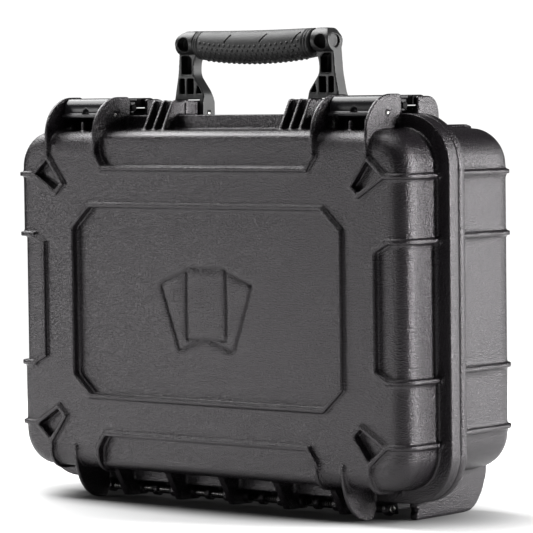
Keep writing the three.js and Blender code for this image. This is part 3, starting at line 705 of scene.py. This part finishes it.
def side_rib_bars(shell, heights, near_x, low, high):
    return [
        box(span(side, near_x, RIM_HALF_W - 2), (low, high),
            around(shell.mid_z + up * z, RIDGE_W))
        for side in SIDES for up in SIDES for z in heights
    ]


def hugging(shell, open_y, end_y, bars):
    """Bars trimmed to stand a ridge's height out of a shell."""
    outward = copysign(RIDGE_H, end_y - open_y)
    return combined(joined(bars), tub(grown(shell, RIDGE_H), open_y, end_y + outward), "INTERSECT")


def rim_band(shell, y0, y1):
    """The rim's flange: a band all round the open edge."""
    inside = grown(shell, -2)
    outer = round_rect(RIM_HALF_W, RIM_HALF_H, RIM_CORNER_R, steps=24)
    inner = round_rect(inside.half_w, inside.half_h, inside.corner, mid_z=shell.mid_z, steps=24)
    return ring("y", outer, inner, y0, y1)


def split_finish(mesh, takes_second):
    """Gives some faces the second material, picked by their middle and direction."""
    for polygon in mesh.polygons:
        polygon.material_index = 1 if takes_second(polygon.center, polygon.normal) else 0


def outside_walls(shell, centre):
    """Whether a point stands clear of a shell's side walls, as a rim or ridge does."""
    return abs(centre.x) > shell.half_w + 1.8 or abs(centre.z - shell.mid_z) > shell.half_h + 1.8


# ---- lid moulding


def lid_cheeks():
    """Tall round plates on both sides of each latch."""
    front, back = LID_LOW.y, LID_RIM_Y + 3.2
    round_r, corner_r = 32, 3
    profile = ([(front, CHEEK_FOOT_Z)]
               + arc((front + round_r, CHEEK_TOP_Z - round_r), (round_r, round_r), 180, 90, 24)
               + arc((back - corner_r, CHEEK_TOP_Z - corner_r), (corner_r, corner_r), 90, 0, 6)
               + [(back, WALL_TOP_Z - 2), (front + 29, WALL_TOP_Z - 2), (front + 4, CHEEK_FOOT_Z)])
    return [prism("x", profile, *about(side, x, CHEEK_T))
            for side in SIDES for x in CHEEK_X]


def latch_posts():
    """A thin post under each latch cover."""
    front, post_top = -63.5, 314.2
    return [box(about(side, LID_FOOT_X, FIN_T), (front, front + FIN_T), (WALL_TOP_Z - 3, post_top))
            for side in SIDES]


def lid_tabs():
    """Raised tabs before the handle brackets, each braced by three leaning ribs."""
    near, far, rib_t = 61.0, 84.5, 3.0
    pitch = (far - near - rib_t) / 2
    low = WALL_TOP_Z - 3
    rib = ([(-55, low), (-41, BRACKET_TOP_Z - 3)]
           + arc((LID_RIM_Y + 0.4, BRACKET_TOP_Z - 3.6), (4, 4), 160, 90, 6)
           + [(LID_RIM_Y + 2, BRACKET_TOP_Z + 0.4), (LID_RIM_Y + 2, low)])
    solids = []
    for side in SIDES:
        solids.append(box(span(side, near, far), (LID_RIM_Y, PARTING_Y - SEAM), (low, BRACKET_TOP_Z)))
        for i in range(3):
            solids.append(prism("x", rib, *span(side, near + pitch * i, near + rib_t + pitch * i)))
    return solids


def lid_gussets():
    """Five webs under the lid, each with its hinge barrel."""
    web = [(-60, LID_LOW_Z + 2), (-44, HINGE[1] - KNUCKLE_R + 0.5), (HINGE[0], HINGE[1] - KNUCKLE_R),
           (HINGE[0] - SEAM, RIM_LOW_Z + 2), (LID_RIM_Y + 2, LID_LOW_Z + 2)]
    solids = []
    for i in range(-2, 3):
        x = i * GUSSET_PITCH
        solids.append(prism("x", web, *around(x, GUSSET_T)))
        solids.append(rod(HINGE, KNUCKLE_R, *around(x, KNUCKLE_W)))
    return solids


def lid_feet():
    """Round fins that the lid's lower edge stands on."""
    front = LID_FACE_Y - 2
    inside = LID_RIM_Y + 4.3
    fin = ([(front, 46)] + arc((-47, 42), (-47 - front, 42), 180, 270, 24)
           + arc((-42, 3), (3, 3), 270, 340, 6)
           + [(inside, RIM_LOW_Z + 1), (inside, LID_LOW_Z + 2), (-60, LID_LOW_Z + 2), (front + 5, 46)])
    return [prism("x", fin, *about(side, LID_FOOT_X, FIN_T)) for side in SIDES]


def gasket_loop(offset):
    """The seal's middle line, moved outwards by an offset."""
    half_w = (GASKET_HIGH.x - GASKET_LOW.x) / 2 - SEAL_HALF_W
    half_h = (GASKET_HIGH.z - GASKET_LOW.z) / 2 - SEAL_HALF_W
    radius = RIM_CORNER_R - (RIM_HALF_W - half_w)
    return round_rect(half_w + offset, half_h + offset, radius + offset, steps=24)


def card_fan():
    """Grooves that draw a fan of three blank cards in the middle panel."""
    card = round_rect(CARD_HALF_W, CARD_HALF_H, CARD_CORNER, mid_z=0, steps=5)
    half_line = 1.0
    slide, drop = 0.95, 0.18  # millimetres for each degree that a card is turned
    grooves = []
    for turn in (-20, 20, 0):
        spin = Matrix.Rotation(radians(-turn), 2)
        offset = Vector((slide * turn, MID_Z - abs(turn) * drop))
        outer = [tuple(spin @ Vector(p) + offset) for p in inset(card, -half_line)]
        inner = [tuple(spin @ Vector(p) + offset) for p in inset(card, half_line)]
        grooves.append((outer, inner))
    low, deep = LID_FACE_Y, LID_FACE_Y + RECESS + 1.5
    solids = []
    for i, (outer, inner) in enumerate(grooves):
        groove = ring("y", outer, inner, low, deep)
        for cover, _ in grooves[i + 1:]:
            groove = combined(groove, prism("y", cover, low - 5, deep + 5), "DIFFERENCE")
        solids.append(groove)
    return solids


def side_recess(side, open_y):
    """The middle of a side wall, between its two inner ribs, sits a little deeper."""
    far = RIM_HALF_W + 1
    frame_line = [(far, LID_RIB_Z[0]), (SIDE_FRAME_OUT_X, LID_RIB_Z[0]), (SIDE_FRAME_X, SIDE_FRAME_Z),
                  (SIDE_FRAME_X, -SIDE_FRAME_Z), (SIDE_FRAME_OUT_X, -LID_RIB_Z[0]), (far, -LID_RIB_Z[0])]
    region = prism("y", quarter(frame_line, side, 1), LID_FACE_Y - 1, open_y + 1)
    core = tub(grown(LID, -SIDE_RECESS), open_y + 2, LID_FACE_Y + SIDE_RECESS)
    return combined(region, core, "DIFFERENCE")


def lid_moulding():
    open_y = PARTING_Y - SEAM
    deep = LID_FACE_Y + RECESS
    above = LID_FACE_Y - 1
    upper = [*OCTAGON, *[(-x, z) for x, z in OCTAGON[::-1]]]
    octagon = [(x, MID_Z + z) for x, z in upper + [(-x, -z) for x, z in upper]]
    panel_end = LID.half_h - 2
    panel = [(PANEL_OUT_X, panel_end), (PANEL_OUT_X, PANEL_OUT_Z), (PANEL_HALF_W, PANEL_EDGE),
             (-PANEL_HALF_W, PANEL_EDGE), (-PANEL_OUT_X, PANEL_OUT_Z), (-PANEL_OUT_X, panel_end)]
    frame_line = [(SIDE_FRAME_OUT_X, LID_RIB_Z[0]), (SIDE_FRAME_X, SIDE_FRAME_Z),
                  (SIDE_FRAME_X, -SIDE_FRAME_Z), (SIDE_FRAME_OUT_X, -LID_RIB_Z[0])]
    low, high = LID_LOW.y - 1, deep
    recesses = [prism("y", octagon, above, deep)]
    ridges = [ring("y", octagon, inset(octagon, RIDGE_W), low, high)]
    for up in SIDES:
        recesses.append(prism("y", quarter(panel, 1, up), above, deep))
        ridges += bar_along([(x, MID_Z + up * z) for x, z in panel], RIDGE_W, low, high)
    for side in SIDES:
        recesses.append(side_recess(side, open_y))
        for up in SIDES:
            kite = quarter(KITE, side, up)
            recesses.append(prism("y", inset(kite, RIDGE_W / 2), above, deep))
            ridges.append(ring("y", kite, inset(kite, RIDGE_W), low, high))
        ridges += bar_along([(side * x, MID_Z + z) for x, z in frame_line], RIDGE_W, low, high)
        for x in (PANEL_OUT_X, KITE[0][0]):
            ridges.append(box(about(side, x, RIDGE_W), (low, open_y),
                              (0, MID_Z - KITE[0][1] + RIDGE_W / 2)))
    ridges += side_rib_bars(LID, LID_RIB_Z, SIDE_FRAME_OUT_X - 4, low, open_y)
    shell = cut(tub(LID, open_y, LID_FACE_Y, wall=WALL, floor=WALL + RECESS), *recesses)
    shell = cut(shell, *card_fan())
    ribs = hugging(LID, open_y, LID_FACE_Y, ridges)
    groove = ring("y", gasket_loop(2.5), gasket_loop(-2.5), PARTING_Y - 5.2, PARTING_Y + 1)
    rim = cut(rim_band(LID, LID_RIM_Y, open_y), groove)
    fittings = lid_cheeks() + latch_posts() + lid_tabs() + lid_gussets() + lid_feet()
    return joined([shell, ribs, rim, *fittings])


def build_lid():
    mesh = moulded(lid_moulding(), voxel=0.6, soften=2)
    bores = [rod(LID_PIN, LATCH_BORE_R, *span(side, CHEEK_X[0] - 5, CHEEK_X[1] + 5))
             for side in SIDES]
    bores.append(rod(HINGE, BORE_R, -RIM_HALF_W, RIM_HALF_W))
    mesh = cut(mesh, *bores)

    def polished(centre, _normal):
        on_rim = centre.y > LID_RIM_Y - 0.5 and outside_walls(LID, centre)
        on_ridge = centre.y < LID_FACE_Y - 1.2
        on_fittings = centre.z > WALL_TOP_Z + 1 or centre.z < LID_LOW_Z - 1
        return on_rim or on_ridge or on_fittings

    split_finish(mesh, polished)
    place("lid_moulding", mesh, "lid", (GRAINED, SATIN), replaces=("lid_shell",))


def build_gasket():
    front, back = GASKET_LOW.y, GASKET_HIGH.y
    crown = 1.8
    section = [(-SEAL_HALF_W, front), (SEAL_HALF_W, front)]
    section += arc((0, back - crown), (SEAL_HALF_W, crown), 0, 180, 10)
    loops = [[(x, y, z) for x, z in gasket_loop(offset)] for offset, y in section]
    verts = [p for loop in loops for p in loop]
    faces = [tuple(i % len(verts) for i in face) for face in bridge(loops + loops[:1], 0)]
    mesh = to_mesh("gasket", verts, faces)
    place("lid_seal", mesh, "lid", (SEAL,), replaces=("lid_gasket",))


# ---- base moulding


def base_cheeks():
    """The base's halves of the latch cheeks, with the catch bar between them."""
    front, top, low = -13, CHEEK_TOP_Z - 2, WALL_TOP_Z - 2
    profile = ([(front, low)] + arc((front + 2, top - 2), (2, 2), 180, 90, 5)
               + arc((1, top - 14), (13.4, 14), 90, 0, 16) + [(15.5, low)])
    solids = []
    for side in SIDES:
        for x in CHEEK_X:
            solids.append(prism("x", profile, *about(side, x, CHEEK_T)))
        near, far = span(side, *CHEEK_X)
        solids.append(rod(CATCH_BAR, CATCH_BAR_R, near, far))
        solids.append(box((near, far), around(CATCH_BAR[0], CATCH_BAR_R), (low, CATCH_BAR[1])))
    return solids


def handle_brackets():
    """Blocks that the handle's arms straddle."""
    y, z = HANDLE_PIVOT
    front = PARTING_Y + SEAM
    reach = BRACKET_TOP_Z - z
    profile = ([(front, WALL_TOP_Z - 2)] + arc((front + 2, BRACKET_TOP_Z - 2), (2, 2), 180, 90, 5)
               + arc((y - 1, z), (reach, reach), 90, 0, 16) + [(y + reach - 1, WALL_TOP_Z - 2)])
    return [prism("x", profile, *span(side, *BRACKET_X)) for side in SIDES]


def base_knuckles():
    """Hinge barrels with their webs, and the strip behind them all."""
    web = [(PARTING_Y + SEAM, RIM_LOW_Z + 2), (HINGE[0], HINGE[1]),
           (HINGE[0] + KNUCKLE_R, HINGE[1]), (BASE_RIM_Y - 0.5, RIM_LOW_Z + 2)]
    solids = []
    for side in SIDES:
        for x in BASE_KNUCKLE_X:
            reach = about(side, x, BASE_KNUCKLE_W)
            solids += [rod(HINGE, KNUCKLE_R, *reach), prism("x", web, *reach)]
    end_x = max(BASE_KNUCKLE_X) + BASE_KNUCKLE_W / 2
    back = HINGE[0] + KNUCKLE_R + 1.2
    solids.append(box((-end_x, end_x), (back, back + 2.6), (HINGE[1] - 5, RIM_LOW_Z + 3)))
    return solids


def base_feet():
    """Two long tapered feet, each with a thin stay beside it."""
    front = PARTING_Y + SEAM
    joint = BASE_LOW_Z + 4
    side_view = ([(front, joint), (front, 2)] + arc((front + 2, 2), (2, 2), 180, 270, 4)
                 + arc((40, 38), (26, 38), 270, 350, 20) + [(66, joint + 7), (62, joint + 7), (45, joint)])
    stay = ([(-13, joint - 2), (-13, 4)] + arc((-11, 4), (2, 2), 180, 270, 4)
            + arc((30, 17), (15, 15), 270, 360, 12) + [(45, joint - 2)])
    solids = []
    for side in SIDES:
        x0, x1 = about(side, FOOT_X, FOOT_TOP_W)
        f0, f1 = about(side, FOOT_X, FOOT_FLOOR_W)
        taper = [(x0, joint + 8), (x0, BASE_LOW_Z), (f0, -1), (f1, -1), (x1, BASE_LOW_Z), (x1, joint + 8)]
        foot = combined(prism("x", side_view, x0, x1), prism("y", taper, PARTING_Y, BASE_FACE_Y),
                        "INTERSECT")
        solids += [foot, prism("x", stay, *about(side, STAY_X, STAY_T))]
    return solids


def build_base():
    open_y = PARTING_Y + SEAM
    bars = side_rib_bars(BASE, BASE_RIB_Z, SIDE_FRAME_X, open_y, BASE_HIGH.y + 1)
    for side in SIDES:
        bars.append(box(about(side, CHEEK_X[1], RIDGE_W), (open_y, TOP_RIDGE_END_Y),
                        (WALL_TOP_Z - BASE.edge, WALL_TOP_Z + RIDGE_H)))
    solids = [tub(BASE, open_y, BASE_FACE_Y, wall=WALL, floor=WALL),
              hugging(BASE, open_y, BASE_FACE_Y, bars), rim_band(BASE, open_y, BASE_RIM_Y)]
    solids += base_cheeks() + handle_brackets() + base_knuckles() + base_feet()
    mesh = moulded(joined(solids), voxel=0.75, soften=2)
    cuts = [rod(HANDLE_PIVOT, BORE_R, *span(side, ARM_IN_X - 2, ARM_OUT_X + 2)) for side in SIDES]
    cuts.append(rod(HINGE, BORE_R, -RIM_HALF_W, RIM_HALF_W))
    cuts.append(valve_bar(VALVE_STEM_R + PIN_GAP, WALL_TOP_Z - 10, WALL_TOP_Z + 10))
    mesh = cut(mesh, *cuts)

    def polished(centre, _normal):
        on_rim = centre.y < BASE_RIM_Y + 0.5 and outside_walls(BASE, centre)
        on_fittings = centre.z > WALL_TOP_Z + 3.5 or centre.z < BASE_LOW_Z - 1
        return on_rim or on_fittings

    split_finish(mesh, polished)
    place("base_moulding", mesh, "base", (GRAINED, SATIN), replaces=("base_shell",))


# ---- pins and valve


def build_pin(name, centre, radius, body, material, head=None):
    """A chamfered pin; head = (its end's direction, how far in it starts, its radius) adds a low head."""
    low, high = box_mm(name)
    x0, x1 = low.x, high.x
    chamfer = radius * 0.3
    stations = [(x0, radius - chamfer), (x0 + chamfer, radius),
                (x1 - chamfer, radius), (x1, radius - chamfer)]
    if head:
        outward, reach, head_r = head
        inner_x = (x1 if outward > 0 else x0) - outward * reach
        tail = [(inner_x, radius), (inner_x, head_r), (inner_x + 0.5 * outward, head_r),
                (inner_x + PIN_HEAD_T * outward, head_r - 0.4)]
        stations = stations[:2] + tail if outward > 0 else tail[::-1] + stations[2:]
    place(name + "_turned", turned(centre, stations), body, (material,), replaces=(name,))


def build_pins():
    for side, word in HANDS:
        build_pin("hinge_pin_" + word, HINGE, PIN_R, "base", STEEL, (side, PIN_HEAD_T, 3.2))
        build_pin("handle_pin_" + word, HANDLE_PIVOT, PIN_R, "base", STEEL)
        build_pin("latch_lid_pin_" + word, LID_PIN, LATCH_PIN_R, "lid", STEEL)
        # The lever pins take the painted-shade material.
        build_pin("latch_lever_pin_" + word, LEVER_PIN, LATCH_PIN_R, "link_" + word, SHADED,
                  (1, 0.3, 3.0))


def valve_bar(radius, low_z, high_z, steps=40):
    """A round bar on the valve's axis; with six steps it is a hexagon."""
    return prism("z", circle(VALVE_XY, radius, steps), low_z, high_z)


def notched_disc(radius, notches, depth):
    """A disc with shallow round grip notches."""
    points = []
    for angle in np.radians(np.linspace(0, 360, notches * 10 + 1)[:-1]):
        r = radius - depth * (0.5 - 0.5 * cos(notches * angle)) ** 2
        points.append((VALVE_XY[0] + r * cos(angle), VALVE_XY[1] + r * sin(angle)))
    return points


def build_valve():
    low, high = box_mm("valve_body")
    seat = WALL_TOP_Z + PIN_GAP
    flange = valve_bar(VALVE_FLANGE_R, seat, high.z, 64)
    stem = valve_bar(VALVE_STEM_R, low.z, seat + 1)
    vent = valve_bar(VALVE_VENT_R, low.z - 2, high.z + 2)
    body = cut(moulded(joined([flange, stem]), voxel=0.35), vent)
    place("valve_body_turned", body, "base", (GLOSS,), replaces=("valve_body",))
    low, high = box_mm("valve_cap")
    cap = moulded(prism("z", notched_disc(radius=8.5, notches=12, depth=0.9), low.z, high.z), voxel=0.3)
    place("valve_cap_knurled", cap, "base", (GLOSS,), replaces=("valve_cap",))
    low, high = box_mm("valve_nut")
    nut = cut(moulded(valve_bar(9, low.z, high.z, steps=6), voxel=0.35),
              valve_bar(VALVE_STEM_R + PIN_GAP, low.z - 1, high.z + 1))
    place("valve_nut_hex", nut, "base", (GLOSS,), replaces=("valve_nut",))


# ---- handle


def arm_solid(side):
    """One trussed arm, from its forked foot to the round shoulder that holds the grip's end."""
    y, z = HANDLE_PIVOT
    back = y + ARM_FOOT_R
    section = ([(ARM_FRONT_Y, 400), (ARM_FRONT_Y, 334), (y - ARM_FOOT_R, 329)]
               + arc((y, z), (ARM_FOOT_R, ARM_FOOT_R), 180, 360, 20)
               + [(back, 330), (ARM_BACK_Y, 337), (ARM_BACK_Y, 400)])
    front_view = rounded([(ARM_OUT_X, 311), (ARM_OUT_X, 334), (83.6, 353), (82.1, 372), (81.4, 383),
                          (76, 388.8), (62.8, 388.8), (62.8, 371), (67.2, 362), (67.2, 352),
                          (ARM_IN_X, 337), (ARM_IN_X, 311)], 4.0)
    reach = span(side, ARM_IN_X - 1, ARM_OUT_X + 1)
    plate = combined(prism("x", section, *reach), rod(SHOULDER, SHOULDER_R, *reach, steps=48), "UNION")
    view = prism("y", counter_clockwise([(x * side, h) for x, h in front_view]), y - 20, y + 20)
    arm = combined(plate, view, "INTERSECT")
    pockets = [
        [(69, 365.5), (69, 352.8), (80, 352.8), (80, 368.4), (72, 368.4)],
        [(76.8, 349.6), (76.8, 336.4), (82, 336.4), (82, 349.6)],
        [(67, 349.6), (67, 336.4), (74, 336.4), (74, 349.6)],
        [(62.8, 344.5), (58, 336.9), (64, 336.9)],
    ]
    front = SHOULDER[0] - SHOULDER_R - 1
    cuts = [prism("y", counter_clockwise([(x * side, h) for x, h in rounded(p, 1.3)]), front, ARM_BACK_Y - 3)
            for p in pockets]
    cuts.append(prism("y", circle((side * 73, 377.5), 5.8), front, ARM_FRONT_Y + 1))
    cuts.append(rod(SHOULDER, 5.6, *span(side, 79.4, ARM_OUT_X)))
    cuts.append(box(span(side, BRACKET_X[0] - 0.5, BRACKET_X[1] + 0.5), (y - 20, y + 20),
                    (300, BRACKET_TOP_Z + 0.6)))
    return cut(arm, *cuts)


def build_handle_frame():
    core = rod(GRIP_AXIS, CORE_R, -GRIP_HALF_L - 2, GRIP_HALF_L + 2)
    mesh = moulded(joined([arm_solid(-1), arm_solid(1), core]), voxel=0.35)
    mesh = cut(mesh, *[rod(HANDLE_PIVOT, BORE_R, *span(side, ARM_IN_X - 1, ARM_OUT_X + 1))
                       for side in SIDES])
    place("handle_arms", mesh, "handle", (HANDLE,), replaces=("handle_frame",))


def grip_radius(x):
    """The grip swells towards its middle."""
    return GRIP_END_R + (GRIP_MID_R - GRIP_END_R) * (1 - (x / GRIP_HALF_L) ** 2)


def studs():
    """Low round studs over the lower part of the grip, in staggered rows."""
    pitch, gap, width, height, sunk = 2.75, 7.2, 1.5, 0.65, 0.15
    verts, faces = [], []
    columns = np.arange(-GRIP_HALF_L + 9, GRIP_HALF_L - 8.5, pitch)
    for column, x in enumerate(columns):
        radius = grip_radius(x)
        step = degrees(gap / radius)
        for k in range(-3, 4):
            angle = radians(-90 + (k + 0.5 * (column % 2)) * step)
            out = Vector((0, cos(angle), sin(angle)))
            along = Vector((0, -sin(angle), cos(angle)))
            foot = Vector((x, *GRIP_AXIS)) + out * (radius - sunk)
            first = len(verts)
            loops = [[foot + Vector((cos(t), 0, 0)) * width * reach + along * sin(t) * width * reach
                      + out * (height + sunk) * rise for t in np.radians(np.linspace(0, 360, 9)[:-1])]
                     for reach, rise in ((1.0, 0.0), (0.85, 0.6), (0.45, 0.95))]
            verts += [point for loop in loops for point in loop]
            verts.append(foot + out * (height + sunk))
            faces += bridge(loops, first)
            faces += [(first + 16 + i, first + 16 + (i + 1) % 8, first + 24) for i in range(8)]
            faces.append(tuple(range(first, first + 8)))
    return to_mesh("studs", verts, faces)


def build_grip():
    end = GRIP_HALF_L
    stations = [(-end, 7.9), (-end, GRIP_END_R - 1.2), (-end + 1.2, GRIP_END_R)]
    groove_depth, groove_w = 0.9, 0.6
    grooves = [s * (end - d) for d in (2.8, 5.6) for s in SIDES]
    for x in np.linspace(-end + 2, end - 2, 200):
        dip = sum(groove_depth * exp(-((x - g) / groove_w) ** 2) for g in grooves)
        stations.append((float(x), grip_radius(x) - dip))
    stations += [(end - 1.2, GRIP_END_R), (end, GRIP_END_R - 1.2), (end, 7.9)]
    body = turned(GRIP_AXIS, stations, 96)
    slit_w, slit_l, slit_depth = 1.8, 9.2, 2.4
    slit_rise, slit_lean = radians(31), radians(-34)
    across = Vector((1, 0, 0))
    up = Vector((0, sin(slit_rise), cos(slit_rise)))
    out = Vector((0, -cos(slit_rise), sin(slit_rise)))
    turn = Matrix((across, up, out)).transposed().to_4x4() @ Matrix.Rotation(slit_lean, 4, "Z")
    cuts = [rod(GRIP_AXIS, CORE_R + PIN_GAP, -end - 1, end + 1)]
    for x in (-23.0, 15.0, 50.0):
        slit = box(around(0, slit_w), around(0, slit_l), (GRIP_MID_R - slit_depth, GRIP_MID_R + 3))
        slit.transform(Matrix.Translation((x, *GRIP_AXIS)) @ turn)
        cuts.append(slit)
    mesh = joined([cut(body, *cuts), studs()])
    for vertex in mesh.vertices:
        if hypot(vertex.co.y - GRIP_AXIS[0], vertex.co.z - GRIP_AXIS[1]) > 9:
            vertex.co.z -= GRIP_SAG * (1 - (vertex.co.x / end) ** 2)
    place("handle_grip_studded", mesh, "handle", (GRIP,), replaces=("handle_grip",))


# ---- latches


def lever_solid(side):
    """A latch's curved cover with its lugs and finger notch."""
    inner = LATCH_TOP_Z - 2.7
    front = LATCH_FRONT_Y
    back = LEVER_PIN[0] + 4.5
    profile = ([(back, inner), (back, LATCH_TOP_Z - 0.8), (back - 0.8, LATCH_TOP_Z)]
               + arc((front + 9, LATCH_TOP_Z - 8.5), (9, 8.5), 90, 180, 14)
               + [(front, 321.8), (front - 1, 320.8), (front - 3.6, 320.3), (front - 3.6, 318),
                  (front + 2.2, 318), (front + 2.4, 325.5)]
               + arc((front + 9, LATCH_TOP_Z - 8.5), (6.6, 5.8), 180, 90, 10))
    centre = side * LATCH_X
    low, high = around(centre, LATCH_W)
    solids = [prism("x", profile, low, high)]
    lug_x, lug_r, lug_t = (11.4, 20.8), 4.4, 3.6
    for offset in lug_x:
        for hand in SIDES:
            reach = around(centre + hand * offset, lug_t)
            solids.append(rod(LEVER_PIN, lug_r, *reach))
            solids.append(box(reach, around(LEVER_PIN[0], 2 * lug_r), (LEVER_PIN[1], inner + 1)))
    notch = prism("y", arc((centre, 321.2), (3.6, 3.6), 0, 180, 16), front - 6, front + 1.2)
    room = box(around(centre, SPINE_W + 1.2), (LEVER_PIN[0] - 5, LEVER_PIN[0] + 6),
               (inner - 1, LATCH_TOP_Z + 1))
    bore = rod(LEVER_PIN, LATCH_BORE_R, low - 1, high + 1)
    return cut(moulded(joined(solids), voxel=0.4), notch, room, bore)


def link_solid(side):
    """The arm under a latch's cover, with the saddle that hooks over the catch bar."""
    centre = side * LATCH_X
    front = CATCH_BAR[0] - 12.2
    low = CATCH_BAR[1] + 4.0
    spine = [(LID_PIN[0], LID_PIN[1] - 1.2), (LEVER_PIN[0], 321), (front + 1.2, 323), (front + 1.2, 329),
             (LEVER_PIN[0], 328.5), (LID_PIN[0], LID_PIN[1] + 3.4)]
    saddle = ([(front, low), (front, LATCH_TOP_Z - 1), (front + 1, LATCH_TOP_Z)]
              + arc((CATCH_BAR[0] - 1, LATCH_TOP_Z - 7), (7, 7), 90, 0, 14) + [(CATCH_BAR[0] + 6, low)])
    return joined([
        prism("x", spine, *around(centre, SPINE_W)),
        rod(LID_PIN, 3.4, *around(centre, 40)),
        rod(LEVER_PIN, 4.2, *around(centre, SPINE_W)),
        prism("x", saddle, *around(centre, LATCH_W)),
    ])


# The sideways-facing end faces of a latch cover, which get painted shade.
def painted_shade_end(_centre, normal):
    return abs(normal.x) > 0.6


def build_latches():
    for side, word in HANDS:
        reach = around(side * LATCH_X, 60)
        lever = lever_solid(side)
        # The cover's end faces take the painted-shade copy of the nylon.
        split_finish(lever, painted_shade_end)
        place("latch_lever_cover_" + word, lever, "lever_" + word, (GLOSS, SHADED),
              replaces=("latch_lever_" + word,))
        # The link arm is painted shade all over, as it sits in the shadow between the cheeks.
        link = cut(moulded(link_solid(side), voxel=0.45), rod(LID_PIN, LATCH_BORE_R, *reach),
                   rod(LEVER_PIN, LATCH_BORE_R, *reach))
        place("latch_link_arm_" + word, link, "link_" + word, (SHADED,),
              replaces=("latch_link_" + word,))


# ---- foam


def build_foam():
    row_l, row_w, pitch, floor_y = 364.0, 79.0, 87.0, 58.0
    inside = grown(BASE, -WALL - PIN_GAP)._replace(draft=0.0)
    block = tub(inside, FOAM_LOW.y, FOAM_HIGH.y)
    rows = [box(around(0, row_l), (FOAM_LOW.y - 1, floor_y), around(BASE.mid_z + k * pitch, row_w))
            for k in (-1, 0, 1)]
    room = box(around(0, VALVE_ROOM), around(VALVE_XY[1], VALVE_ROOM),
               (WALL_TOP_Z - WALL - 10, WALL_TOP_Z))
    block = moulded(cut(block, *rows, room), voxel=1.3, soften=2)
    foam_block = place("base_foam_block", block, "base", (FOAM,), replaces=("base_foam",))
    for k in (1, 2, 3):
        low, high = box_mm("row_spacer_%d" % k)
        spacer = moulded(box((low.x, high.x), (low.y, high.y), (low.z, high.z)), voxel=0.9, soften=4)
        place("row_spacer_foam_%d" % k, spacer, "base", (FOAM,),
                        replaces=("row_spacer_%d" % k,))
    low, high = box_mm("lid_foam")
    pad = tub(grown(LID, -WALL - PIN_GAP)._replace(draft=0.0), high.y, low.y)
    pad = moulded(pad, voxel=1.6, soften=2, thin=0.0)
    mean_depth, swing = 3.5, 3.0  # of the hollows between the cones
    for vertex in pad.vertices:
        x, y, z = vertex.co
        if y > high.y - 2:
            wave = cos(x * pi / FOAM_CONE_PITCH) * cos((z - MID_Z) * pi / FOAM_CONE_PITCH)
            vertex.co.y -= mean_depth - swing * wave
    place("lid_foam_pad", pad, "lid", (FOAM,), replaces=("lid_foam",))


build_lid()
build_gasket()
build_base()
build_pins()
build_valve()
build_handle_frame()
build_grip()
build_latches()
build_foam()
